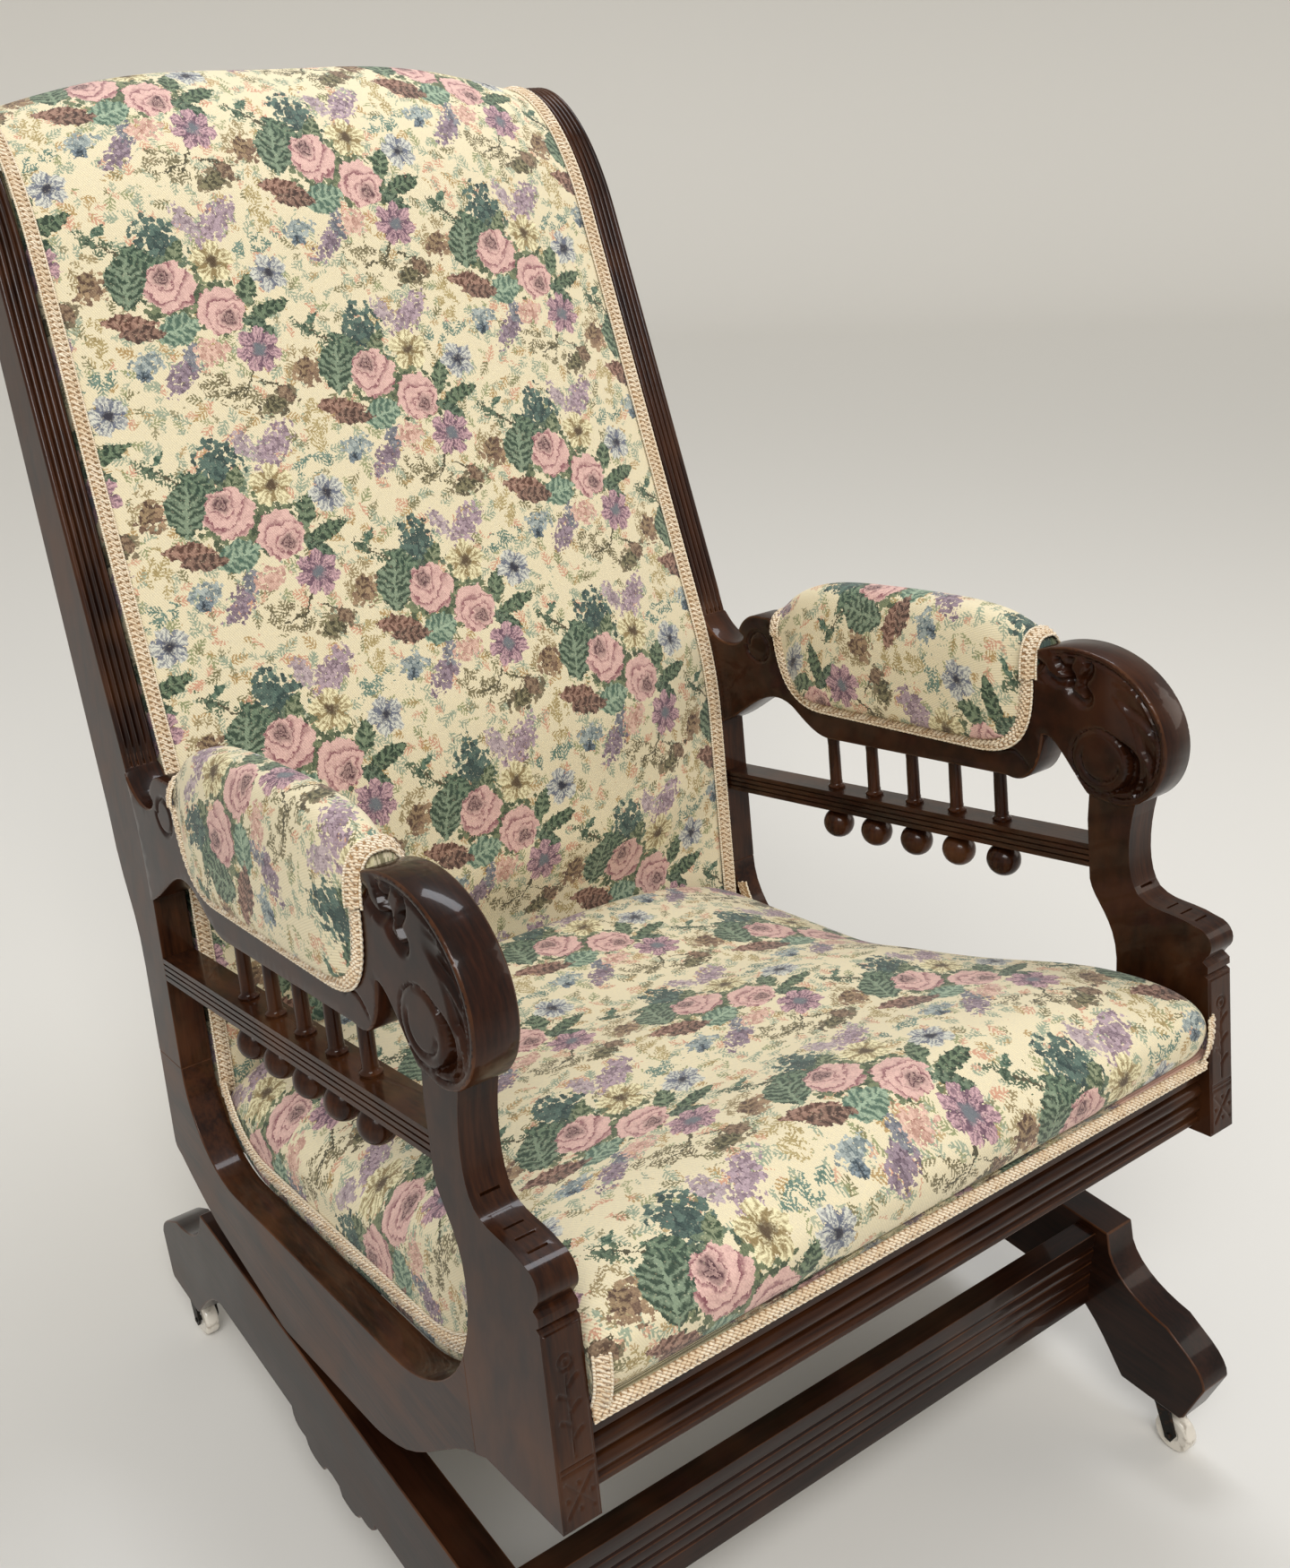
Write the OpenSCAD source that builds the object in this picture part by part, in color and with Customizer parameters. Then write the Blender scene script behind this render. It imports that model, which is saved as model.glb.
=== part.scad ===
// Platform rocking chair: an upholstered rocking frame on a sprung base with four castors.
// Side outlines are [y, z] points. The chair faces -Y, and y = 0 is the middle of the base.
// The rocking frame is drawn level and then tipped back to where the empty chair rests.

/* [Overall] */
// Width over the outside of the two side frames
frame_w = 600; // [540:2:660]
// Thickness of the side frame boards
board = 26; // [22:1:28]
// Thickness of the arms, which stand proud of the posts on both faces
arm_t = 30; // [28:1:36]
// How far the empty chair leans back from level, in degrees
rest_tilt = 9; // [7:0.5:10]
// How far it rocks forward from rest, in degrees
rock_forward = 10; // [6:0.5:11]
// How far it rocks back from rest, in degrees
rock_back = 8; // [5:0.5:9]

/* [Base] */
// Height of the tops of the base rails above the floor
rail_top = 162; // [158:1:170]
// Thickness of the base rails
rail_t = 30; // [26:1:34]
// Height of the long lower edge of a base rail
rail_under = 92; // [86:1:98]
// Half the length of the flat top of a base rail
rail_half = 216; // [208:1:230]
// How far a foot reaches past the flat top
foot_reach = 94; // [86:1:100]
// Height of the underside of the feet, which is the height of a castor
foot_z = 43; // [41:1:48]
// Depth of the shaped drop under the middle of a rail
drop_depth = 21; // [14:1:24]
// Half the width of that drop
drop_half = 63; // [56:1:76]
// Thickness of the two stretchers
stretcher_t = 17; // [14:1:20]
// How far the stretchers lie below the rail tops
stretcher_step = 6; // [3:1:8]

/* [Castors] */
// Radius of a china wheel
wheel_r = 15; // [13:0.5:17]
// Width of a wheel
wheel_w = 12; // [10:0.5:14]
// How far a wheel trails behind its swivel
castor_trail = 10; // [8:0.5:12]
// Radius of the wheel axle
axle_r = 2; // [1.6:0.1:2.4]
// Radius of the castor stem
stem_r = 4; // [3.4:0.1:4.6]
// Length of the castor stem
stem_len = 24; // [20:1:28]

/* [Rocker springs] */
// Radius of the spring coils, to the middle of the wire
coil_r = 14; // [12:0.5:16]
// Radius of the spring wire
wire_r = 2.2; // [1.8:0.1:2.6]
// Turns of each spring
coil_turns = 6; // [5:1:7]
// Height of a spring between its two plates
coil_h = 72; // [68:1:76]
// Distance between the two springs of a pair
coil_pitch = 42; // [40:1:50]
// Thickness of the iron spring brackets
iron_t = 4; // [3:0.5:5]

/* [Side frame] */
// Radius of the curve on which the chair rocks
rocker_r = 420; // [400:5:480]
// Height of the rocking axis above the rail tops
pivot_rise = 45; // [35:1:55]
// Height of the lower inside edge of the side opening
opening_z = 243; // [240:1:250]
// Front of the side opening
opening_front = -219; // [-224:1:-214]
// Rear of the side opening, which is the front of the back posts
opening_rear = 208; // [202:1:216]
// Radius of the opening's front corner
front_corner_r = 110; // [100:1:112]
// Radius of the opening's rear corner
rear_corner_r = 76; // [66:1:78]
// Depth of a back post below the arm
post_depth = 46; // [42:1:50]
// Front face of the front blocks
block_y = -293; // [-300:1:-290]
// Underside of the front posts
post_foot = 238; // [234:1:241]
// Height of the tops of the front blocks
block_top = 360; // [354:1:366]

/* [Back] */
// Lean of the back from upright, in degrees
back_lean = 16.3; // [14:0.1:18]
// Length of the straight part of the back
back_len = 400; // [380:5:430]
// How far the top rolls back
curl_reach = 111; // [104:1:118]
// How far the top rises over that reach
curl_rise = 125; // [118:1:132]
// Radius of the rolled end of a back post
roll_r = 24; // [22:0.5:26]
// Thickness of the back cushion at its edges
back_pad = 28; // [24:1:29]
// Crown of the back cushion
back_crown = 28; // [16:1:34]

/* [Arms] */
// Height of the straight lower edge of the arm
arm_under = 474; // [470:1:480]
// Height of the middle of the front scroll above that edge
scroll_rise = 32; // [28:1:38]
// Place of the middle of the front scroll
scroll_y = -214; // [-218:1:-210]
// Radius of the scroll where it sits on its post
scroll_r = 31; // [28:1:33]
// Growth of the scroll, per degree of turn
scroll_growth = 0.0051; // [0.0048:0.0001:0.0053]
// Radius of the raised scroll eye
eye_r = 19; // [16:1:22]
// Height of an arm pad's braid above the arm's lower edge
pad_rise = 20; // [17:1:26]
// Height of an arm pad from its braid to its top
pad_h = 117; // [106:1:126]
// Width of an arm pad
pad_w = 58; // [50:1:66]

/* [Gallery] */
// Number of spindles and of ball drops under each arm
spindles = 5; // [3:1:5]
// Distance between spindles
spindle_pitch = 45.5; // [40:0.5:46]
// Radius of a spindle
spindle_r = 5.5; // [4.5:0.25:6.5]
// Radius of a ball drop
ball_r = 13.5; // [11:0.5:15]
// Height of the gallery rail itself
gallery_h = 18; // [16:1:22]
// Distance of its rear end below the arm's lower edge
gallery_drop = 61; // [56:1:66]
// Rise of the rail towards the front, in degrees
gallery_rise = 3.5; // [2:0.5:4]

/* [Seat] */
// Height of the seat's side edge at the front
seat_front_z = 352; // [346:1:360]
// Height of the seat's side edge at the back
seat_rear_z = 291; // [289:1:300]
// Crown of the seat's front edge over its side edges
seat_crown = 22; // [16:1:28]
// Crown of its sprung middle and back
seat_dome = 47; // [42:1:52]
// Height of the lower edge of the front rail
seat_rail_z = 246; // [245:1:250]
// Height of the front rail
seat_rail_h = 44; // [38:1:46]
// Thickness of the seat frame rails
seat_rail_t = 22; // [18:1:24]
// Width of the gimp braid
gimp_w = 13; // [11:0.5:14]
// Thickness of the gimp braid
gimp_t = 3; // [2:0.5:3]

/* [Hidden] */
$fn = 48;
// Clearance between soft or moving pieces and their neighbours
gap = 0.3;
inner_x = frame_w / 2 - board;
outer_x = frame_w / 2;
frame_x = outer_x - board / 2;
rail_out = outer_x + 1;
rail_in = rail_out - rail_t;
castor_x = (rail_in + rail_out) / 2;
castor_y = rail_half + foot_reach - 35;
scroll_z = arm_under + scroll_rise;
pad_under = arm_under + pad_rise;
pad_top = pad_under + pad_h;
gallery_z = arm_under - gallery_drop;
pivot_y = rocker_r * rest_tilt * PI / 180;
pivot_z = rail_top + pivot_rise;

function bez(a, b, c, d, n = 8) = [
    for (i = [0:n]) let (t = i / n, u = 1 - t)
        u * u * u * a + 3 * u * u * t * b + 3 * u * t * t * c + t * t * t * d
];
function arc(c, r, a0, a1, n = 8) = [
    for (i = [0:n]) let (a = a0 + (a1 - a0) * i / n) c + r * [cos(a), sin(a)]
];
function tail(p) = [for (i = [1:len(p) - 1]) p[i]];
function flip(p) = [for (i = [1:len(p)]) p[len(p) - i]];
function smooth(t) = let (u = max(0, min(1, t))) u * u * (3 - 2 * u);
function tipped(p, a) = let (dy = p[0] - pivot_y, dz = p[1] - pivot_z)
    [pivot_y + dy * cos(a) + dz * sin(a), pivot_z - dy * sin(a) + dz * cos(a)];

// Side outlines of the rocking frame
joint_y = opening_front + 14;
joint_z = rear_corner_r + opening_z + 1;
front_corner = [opening_front + front_corner_r, opening_z + front_corner_r];
rear_corner = [opening_rear - rear_corner_r, opening_z + rear_corner_r];
joint_angle = 180 + acos((front_corner[0] - joint_y) / front_corner_r);
post_back = opening_rear + post_depth;
run_end = [joint_y, post_foot - 5];
function clear_line(s, a) = s < pivot_rise * sin(a)
    ? pivot_rise - sqrt(pivot_rise * pivot_rise - s * s)
    : s * tan(a) - pivot_rise * (1 / cos(a) - 1);
function under_at(s) = let (a = s < 0 ? rock_forward : rock_back, d = abs(s))
    max(rocker_r - sqrt(rocker_r * rocker_r - d * d), clear_line(d, a)) + gap;
curve_front = -165;
curve_rear = 178;
curve_step = 7;
rocker_curve = [
    for (s = [curve_front:curve_step:curve_rear])
        tipped([pivot_y + s, rail_top + under_at(s)], -rest_tilt)
];
run_start = rocker_curve[0];
run_up = bez(run_end, run_end + [32, -10], run_start + [-38, 9], run_start, 8);
curve_end = rocker_curve[len(rocker_curve) - 1];
heel = bez(curve_end, curve_end + [8, 3], [post_back, curve_end[1] + 4],
    [post_back, curve_end[1] + 14], 4);
rocker_outline = concat(
    run_up, tail(rocker_curve), tail(heel), [[post_back, joint_z], [opening_rear, joint_z]],
    arc(rear_corner, rear_corner_r, 0, -90, 10), arc(front_corner, front_corner_r, 270, joint_angle, 10)
);

// The front scroll of the arm, as a spiral that grows from the post round to the top
function scroll_at(a) = [scroll_y, scroll_z]
    + scroll_r * exp(scroll_growth * a) * [-sin(a), -cos(a)];
scroll_from = 40;
scroll_to = 216;
scroll_step = 8;
neck_rear = [scroll_y + 14, scroll_z - scroll_r + 2];
neck_y = scroll_y + 16;
scroll_seat = [for (a = [scroll_from:-scroll_step:0]) scroll_at(a)];
post_h = scroll_z - scroll_r - block_top;
knee = [block_y + 54, block_top + 0.42 * post_h];
neck_low = [neck_y, block_top + 0.44 * post_h];
nose_r = 12;
nose = [block_y + 9, block_top + 25];
front_post_outline = concat(
    [[joint_y, run_end[1]], [joint_y - 12, post_foot], [block_y, post_foot],
        [block_y, block_top], [block_y + 3, block_top + 2], [block_y, block_top + 4],
        [block_y, block_top + 9], [block_y + 4, block_top + 12]],
    arc(nose, nose_r, 230, 95, 8),
    tail(bez(nose + [-1, nose_r], nose + [20, nose_r + 7], knee + [-12, -10], knee, 6)),
    tail(bez(knee, knee + [10, 0.1 * post_h], scroll_seat[0] + [8, -0.23 * post_h], scroll_seat[0], 8)),
    tail(scroll_seat), [neck_rear, [neck_y, neck_rear[1] - 0.17 * post_h], neck_low],
    tail(bez(neck_low, neck_low - [2, 0.14 * post_h], [opening_front, front_corner[1] + 32],
        [opening_front, front_corner[1]], 8)),
    tail(arc(front_corner, front_corner_r, 180, joint_angle, 5))
);

// The back post: front face from the side opening up and over the rolled top
lean = [sin(back_lean), cos(back_lean)];
lean_start = [opening_rear + 14, arm_under + 90];
shoulder_z = arm_under - 4;
straight_end = lean_start + back_len * lean;
curl_top = straight_end + [curl_reach, curl_rise];
roll = curl_top - [0, roll_r];
post_shoulder = bez([opening_rear, shoulder_z], [opening_rear, shoulder_z + 40],
    lean_start - 26 * lean, lean_start, 6);
straight_steps = 8;
straight_face = [for (i = [0:straight_steps]) lean_start + back_len * lean * i / straight_steps];
curl_face = bez(straight_end, straight_end + 60 * lean, curl_top - [55, 0], curl_top, 10);
roll_face = arc(roll, roll_r, 90, -90, 10);
post_top_d = 44;
back_normal = [lean[1], -lean[0]];
rear_high = straight_end + post_top_d * back_normal;
rear_low = lean_start + 62 * back_normal + [0, -30];
curl_rear = bez(roll - [0, roll_r], roll - [36, roll_r], rear_high + 56 * lean, rear_high, 6);
waist_z = arm_under - 82;
post_rear = bez(rear_low, rear_low - [6, 70], [post_back, waist_z + 58], [post_back, waist_z], 6);
face_line = concat(post_shoulder, tail(straight_face), tail(curl_face));
back_post_outline = concat(
    [[opening_rear, joint_z]], face_line, tail(roll_face), tail(curl_rear), post_rear,
    [[post_back, joint_z]]
);

// The arm between the front scroll and the back post
arm_corner_rear = [opening_rear - 144, arm_under - 3];
arm_corner_front = [arm_corner_rear[0] - 190, arm_under + 3];
notch = [scroll_y + 52, scroll_z + 10];
pad_front = scroll_y + 56;
pad_rear = opening_rear - 82;
pad_seat_z = scroll_z + 60;
volute = [opening_rear - 61, scroll_z + 38];
volute_r = 22;
arm_outline = concat(
    [for (a = [0:scroll_step:scroll_to]) scroll_at(a)],
    [[pad_front - 2, scroll_at(scroll_to)[1]], [pad_front, pad_seat_z], [pad_rear, pad_seat_z],
        [pad_rear + 2, volute[1] + volute_r + 6]],
    arc(volute, volute_r + 6, 96, 24, 5),
    [[volute[0] + 19, volute[1] + 6]],
    tail(bez([volute[0] + 19, volute[1] + 6], [volute[0] + 30, volute[1] - 8],
        lean_start - [16, 26], lean_start, 8)),
    tail(flip(post_shoulder)), [[opening_rear, shoulder_z - 9]],
    tail(bez([opening_rear, shoulder_z - 9], [opening_rear - 40, arm_under + 2],
        [opening_rear - 66, arm_under + 38], [opening_rear - 100, arm_under + 19], 8)),
    tail(bez([opening_rear - 100, arm_under + 19], [opening_rear - 112, arm_under + 10],
        arm_corner_rear + [16, -1], arm_corner_rear, 5)),
    [arm_corner_front],
    tail(bez(arm_corner_front, arm_corner_front - [16, -5], notch + [5, -34], notch, 6)),
    tail(bez(notch, notch - [11, -3], neck_rear + [12, 12], neck_rear, 6))
);

// The cushion of the back follows the front faces of the posts and goes over the roll
back_bottom = seat_rear_z + 1;
roll_stop = -50;
back_path = concat(
    [for (z = [back_bottom:30:shoulder_z - 5]) [opening_rear, z]], face_line,
    tail(arc(roll, roll_r, 90, roll_stop, 6))
);
path_n = len(back_path) - 1;
function path_dir(i) = let (d = back_path[min(i + 1, path_n)] - back_path[max(i - 1, 0)]) d / norm(d);
function path_out(i) = [-path_dir(i)[1], path_dir(i)[0]];
function beside(d, first = 0, last = path_n) = [
    for (i = [first:last]) back_path[i] + d * path_out(i)
];
function band(d0, d1, first = 0, last = path_n) = concat(
    beside(d0, first, last), flip(beside(d1, first, last))
);

// Turns points into a closed skin of triangles: rings of equal count with a hub at each end
function hub(ring) = [for (k = [0:2]) let (s = [for (p = ring) p[k]]) sum(s) / len(ring)];
function sum(v, i = 0, s = 0) = i == len(v) ? s : sum(v, i + 1, s + v[i]);
module skin(rings) {
    n = len(rings[0]);
    m = len(rings);
    points = concat([for (r = rings) for (p = r) p], [hub(rings[0]), hub(rings[m - 1])]);
    sides = [
        for (j = [0:m - 2]) for (i = [0:n - 1]) let (k = (i + 1) % n, a = j * n, b = a + n)
            each [[a + i, a + k, b + k], [a + i, b + k, b + i]]
    ];
    ends = [
        for (i = [0:n - 1]) let (k = (i + 1) % n, b = (m - 1) * n)
            each [[m * n, k, i], [m * n + 1, b + i, b + k]]
    ];
    polyhedron(points = points, faces = concat(sides, ends), convexity = 6);
}

// Places on the real object
base_back = rail_half + foot_reach;
rear_reach = max([for (i = [0:path_n]) tipped(crown_at(i), rest_tilt)[0]]);
mid_y = (rear_reach - base_back) / 2;
echo(mid_y = mid_y, pivot_y = pivot_y, pivot_z = pivot_z);
module on_base() { translate([0, -mid_y, 0]) children(); }
module on_rocker() {
    translate([0, pivot_y - mid_y, pivot_z]) rotate([-rest_tilt, 0, 0])
        translate([0, -pivot_y, -pivot_z]) children();
}
// A board of a side outline between two distances from the middle, on side -1 or 1
module slab(side, x0, x1, outline) {
    translate([side > 0 ? x0 : -x1, 0, 0]) rotate([90, 0, 90]) linear_extrude(x1 - x0)
        polygon(outline);
}
module wood() { color([0.20, 0.11, 0.08]) children(); }
module iron() { color([0.16, 0.14, 0.13]) children(); }
module cloth() { color([0.87, 0.80, 0.62]) children(); }
module braid() { color([0.80, 0.70, 0.55]) children(); }

// Base
knee_under = rail_half - 4;
foot_edge = concat(
    [[rail_half, rail_top], [rail_half + 4, rail_top - 16]],
    tail(bez([rail_half + 4, rail_top - 16], [rail_half + 12, rail_top - 34],
        [rail_half + 34, rail_top - 44], [rail_half + 58, rail_top - 47], 7)),
    [[rail_half + 71, rail_top - 55]],
    tail(bez([rail_half + 71, rail_top - 55], [base_back - 10, rail_top - 62],
        [base_back - 1, rail_top - 70], [base_back, rail_top - 80], 5)),
    [[base_back - 13, foot_z + 3], [base_back - 16, foot_z], [base_back - 67, foot_z]],
    tail(bez([base_back - 67, foot_z], [base_back - 78, foot_z + 12],
        [knee_under - 4, rail_under], [knee_under - 26, rail_under], 7))
);
drop_z = rail_under - drop_depth * 0.6;
drop_edge = concat(
    [[drop_half, rail_under]],
    tail(bez([drop_half, rail_under], [drop_half - 2, drop_z], [drop_half * 0.8, drop_z],
        [drop_half * 0.66, drop_z + 1], 5)),
    tail(bez([drop_half * 0.66, drop_z + 1], [drop_half * 0.6, rail_under - drop_depth],
        [drop_half * 0.4, rail_under - drop_depth], [drop_half * 0.22, rail_under - drop_depth + 2], 5)),
    [[drop_half * 0.15, drop_z], [0, drop_z + 1]]
);
half_rail = concat(foot_edge, drop_edge);
rail_outline = concat(half_rail, [for (p = flip(half_rail)) if (p[0] > 0) [-p[0], p[1]]]);
module castor_places() {
    for (x = [-castor_x, castor_x]) for (y = [-castor_y, castor_y]) translate([x, y, 0]) children();
}
socket_r = stem_r + 1.2;
plate_t = 1.5;
plate_r = 12;
module base_rail(side) {
    wood() on_base() difference() {
        slab(side, rail_in, rail_out, rail_outline);
        castor_places() translate([0, 0, foot_z - 1]) cylinder(r = socket_r + 0.1, h = stem_len + 3);
    }
}
stretcher_y = rail_half - 10;
module stretcher(end) {
    h = rail_top - stretcher_step - rail_under + 4;
    y0 = end > 0 ? stretcher_y - stretcher_t : -stretcher_y;
    reeds = 4;
    wood() on_base() difference() {
        translate([-rail_in, y0, rail_under - 4]) cube([2 * rail_in, stretcher_t, h]);
        for (i = [0:reeds - 1])
            translate([0, end * stretcher_y, rail_under + h * (0.22 + i * 0.17)])
                rotate([45, 0, 0]) cube([2 * rail_in + 2, 2.6, 2.6], center = true);
    }
}
module front_stretcher() { stretcher(-1); }
module rear_stretcher() { stretcher(1); }
module base_rail_left() { base_rail(-1); }
module base_rail_right() { base_rail(1); }
module castor_plates() {
    iron() on_base() castor_places() difference() {
        union() {
            translate([0, 0, foot_z - plate_t]) cylinder(r = plate_r, h = plate_t);
            translate([0, 0, foot_z]) cylinder(r = socket_r, h = stem_len);
        }
        translate([0, 0, foot_z - plate_t - 1]) cylinder(r = stem_r + 0.1, h = stem_len + plate_t);
    }
}

// Castors, each drawn round its own swivel and trailing towards the front
fork_in = wheel_w / 2 + 0.8;
fork_t = 2.5;
fork_top = foot_z - plate_t - gap;
module fork() {
    cheek = [[-castor_trail - 5, wheel_r + 2], [-castor_trail - 2, wheel_r - 5],
        [-castor_trail + 3, wheel_r - 4], [-castor_trail + 5, wheel_r + 1], [4, fork_top - 6],
        [6, fork_top - 3], [-7, fork_top - 3], [-11, wheel_r + 12]];
    iron() difference() {
        union() {
            translate([0, 0, fork_top - 4]) cylinder(r = fork_in + fork_t, h = 4);
            translate([0, 0, fork_top - 1]) cylinder(r = stem_r, h = stem_len);
            for (s = [-1, 1]) slab(s, fork_in, fork_in + fork_t, cheek);
        }
        translate([-fork_in - fork_t - 1, -castor_trail, wheel_r]) rotate([0, 90, 0])
            cylinder(r = axle_r, h = 2 * (fork_in + fork_t) + 2);
    }
}
module axle() {
    iron() translate([-fork_in - fork_t - 1, -castor_trail, wheel_r]) rotate([0, 90, 0])
        cylinder(r = axle_r, h = 2 * (fork_in + fork_t) + 2);
}
module wheel() {
    e = 2.5;
    color([0.93, 0.92, 0.88]) translate([-wheel_w / 2, -castor_trail, wheel_r]) rotate([0, 90, 0])
        rotate_extrude() polygon([[axle_r + 0.15, 1], [5, 1], [6, 0], [wheel_r - e, 0],
            [wheel_r - 0.7, 0.8], [wheel_r, e], [wheel_r, wheel_w - e], [wheel_r - 0.7, wheel_w - 0.8],
            [wheel_r - e, wheel_w], [6, wheel_w], [5, wheel_w - 1], [axle_r + 0.15, wheel_w - 1]]);
}
module at_castor(x, y) { on_base() translate([x * castor_x, y * castor_y, 0]) children(); }
module castor_fork_front_left() { at_castor(-1, -1) fork(); }
module castor_fork_front_right() { at_castor(1, -1) fork(); }
module castor_fork_rear_left() { at_castor(-1, 1) fork(); }
module castor_fork_rear_right() { at_castor(1, 1) fork(); }
module castor_axle_front_left() { at_castor(-1, -1) axle(); }
module castor_axle_front_right() { at_castor(1, -1) axle(); }
module castor_axle_rear_left() { at_castor(-1, 1) axle(); }
module castor_axle_rear_right() { at_castor(1, 1) axle(); }
module castor_wheel_front_left() { at_castor(-1, -1) wheel(); }
module castor_wheel_front_right() { at_castor(1, -1) wheel(); }
module castor_wheel_rear_left() { at_castor(-1, 1) wheel(); }
module castor_wheel_rear_right() { at_castor(1, 1) wheel(); }

// Rocker springs between an angle on the base rail and an angle on the rocker, drawn at rest
coil_x = rail_in - coil_r - wire_r - 3;
shelf_z = rail_top - 42;
plate_len = coil_pitch + 2 * coil_r + 12;
shelf_in = coil_x - coil_r - wire_r - 1;
ring_steps = 8;
wire_sides = 6;
module coil() {
    rise = coil_h - 2 * wire_r;
    n = coil_turns * ring_steps;
    climb = atan(rise / coil_turns / (2 * PI * coil_r));
    path = [
        for (i = [0:n]) let (a = 360 * i / ring_steps)
            [coil_r * cos(a), coil_r * sin(a), wire_r + rise * i / n]
    ];
    rings = [
        for (i = [0:n]) let (a = 360 * i / ring_steps)
            [for (k = [0:wire_sides - 1]) let (b = 360 * k / wire_sides)
                path[i] + wire_r * cos(b) * [cos(a), sin(a), 0]
                    + wire_r * sin(b) * [sin(a) * sin(climb), -cos(a) * sin(climb), cos(climb)]]
    ];
    skin(rings);
}
coil_gap = (coil_h - 2 * wire_r) / coil_turns - 2 * wire_r;
echo(coil_gap = coil_gap);
module rocker_springs(side) {
    color([0.30, 0.24, 0.20]) on_base() for (k = [-1, 1])
        translate([side * coil_x, pivot_y + k * coil_pitch / 2, shelf_z + gap]) coil();
}
module rocker_springs_left() { rocker_springs(-1); }
module rocker_springs_right() { rocker_springs(1); }
screw_r = 3.5;
// z0 to z1 is the plate on the wood, and shelf is the underside of the flange
module bracket(side, z0, z1, shelf, face_x) {
    x0 = face_x - iron_t;
    translate([side > 0 ? x0 : -face_x, pivot_y - plate_len / 2, z0])
        cube([iron_t, plate_len, z1 - z0]);
    translate([side > 0 ? shelf_in : -x0, pivot_y - plate_len / 2, shelf])
        cube([x0 - shelf_in, plate_len, iron_t]);
}
module base_brackets() {
    iron() on_base() for (side = [-1, 1])
        bracket(side, rail_under + 2, shelf_z, shelf_z - iron_t, rail_in);
}
top_plate = shelf_z + coil_h + 2 * gap;
module rocker_brackets() {
    iron() on_base() for (side = [-1, 1])
        bracket(side, top_plate, top_plate + 30, top_plate, inner_x);
}
module screw_heads(x_face, z) {
    for (side = [-1, 1]) for (k = [-1, 0, 1])
        translate([side * (x_face - iron_t), pivot_y + k * (plate_len / 2 - 10), z])
            rotate([0, -side * 90, 0]) cylinder(r1 = screw_r, r2 = screw_r * 0.7, h = 2);
}
module base_bracket_screws() { iron() on_base() screw_heads(rail_in, rail_under + 12); }
module rocker_bracket_screws() { iron() on_base() screw_heads(inner_x, top_plate + 20); }

// Side frames
module rocker_left() { wood() on_rocker() slab(-1, inner_x, outer_x, rocker_outline); }
module rocker_right() { wood() on_rocker() slab(1, inner_x, outer_x, rocker_outline); }
module front_post(side) {
    notches = 5;
    wood() on_rocker() difference() {
        slab(side, inner_x, outer_x, front_post_outline);
        for (i = [0:notches - 1]) let (t = i / (notches - 1))
            translate([side * frame_x, nose[0] + 5 + 42 * t, nose[1] + nose_r + 4 + 12 * t * t])
                rotate([-12 + 40 * t, 0, 0]) cube([board * 0.5, 1.6, 8], center = true);
    }
}
module front_post_left() { front_post(-1); }
module front_post_right() { front_post(1); }
reeds = 5;
reed_pitch = board / reeds;
reed_deep = 2;
roll_steps = 6;
face_first = path_n - roll_steps - len(tail(curl_face)) - straight_steps;
face_last = path_n - 3;
module back_post(side) {
    wood() on_rocker() difference() {
        slab(side, inner_x, outer_x, back_post_outline);
        for (i = [1:reeds - 1])
            slab(side, inner_x + i * reed_pitch - 0.8, inner_x + i * reed_pitch + 0.8,
                band(3, -reed_deep, face_first, face_last));
    }
}
module back_post_left() { back_post(-1); }
module back_post_right() { back_post(1); }

// Gallery under each arm
gallery_mid = (neck_y + opening_rear) / 2;
function gallery_at(y) = gallery_z + (opening_rear - y) * tan(gallery_rise);
function spindle_y(i) = gallery_mid - 22 + (i - (spindles - 1) / 2) * spindle_pitch;
function arm_under_at(y) = arm_under - 3 + (arm_corner_rear[0] - y) * 6 / 190;
tenon_r = 3.5;
tenon_len = 6;
module gallery_rail(side) {
    outline = [[neck_y, gallery_at(neck_y)], [opening_rear, gallery_z],
        [opening_rear, gallery_z - gallery_h], [neck_y, gallery_at(neck_y) - gallery_h]];
    grooves = 3;
    wood() on_rocker() difference() {
        slab(side, inner_x, outer_x, outline);
        for (i = [0:spindles - 1]) {
            y = spindle_y(i);
            translate([side * frame_x, y, gallery_at(y) - tenon_len - 1])
                cylinder(r = tenon_r + 0.1, h = tenon_len + 3);
            translate([side * frame_x, y, gallery_at(y) - gallery_h - 2])
                cylinder(r = tenon_r + 0.1, h = tenon_len + 3);
        }
        for (i = [1:grooves]) for (x = [inner_x, outer_x])
            translate([side * x, gallery_mid, gallery_at(gallery_mid) - gallery_h * i / (grooves + 1)])
                rotate([-gallery_rise, 0, 0]) cube([3, opening_rear - neck_y + 40, 1.4], center = true);
    }
}
module gallery_rail_left() { gallery_rail(-1); }
module gallery_rail_right() { gallery_rail(1); }
module spindle_row(side) {
    wood() on_rocker() for (i = [0:spindles - 1]) {
        y = spindle_y(i);
        low = gallery_at(y) + 0.5;
        high = arm_under_at(y) - 0.4;
        translate([side * frame_x, y, 0]) {
            translate([0, 0, low - tenon_len]) cylinder(r = tenon_r, h = high - low + 2 * tenon_len);
            translate([0, 0, low]) cylinder(r1 = spindle_r + 0.8, r2 = spindle_r, h = 4);
            translate([0, 0, low + 4]) cylinder(r = spindle_r, h = high - low - 4);
        }
    }
}
module spindles_left() { spindle_row(-1); }
module spindles_right() { spindle_row(1); }
module ball_row(side) {
    color([0.24, 0.13, 0.09]) on_rocker() for (i = [0:spindles - 1]) {
        y = spindle_y(i);
        z = gallery_at(y) - gallery_h - ball_r - 1.2;
        translate([side * frame_x, y, z]) {
            sphere(r = ball_r);
            cylinder(r = tenon_r, h = ball_r + tenon_len);
        }
    }
}
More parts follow.
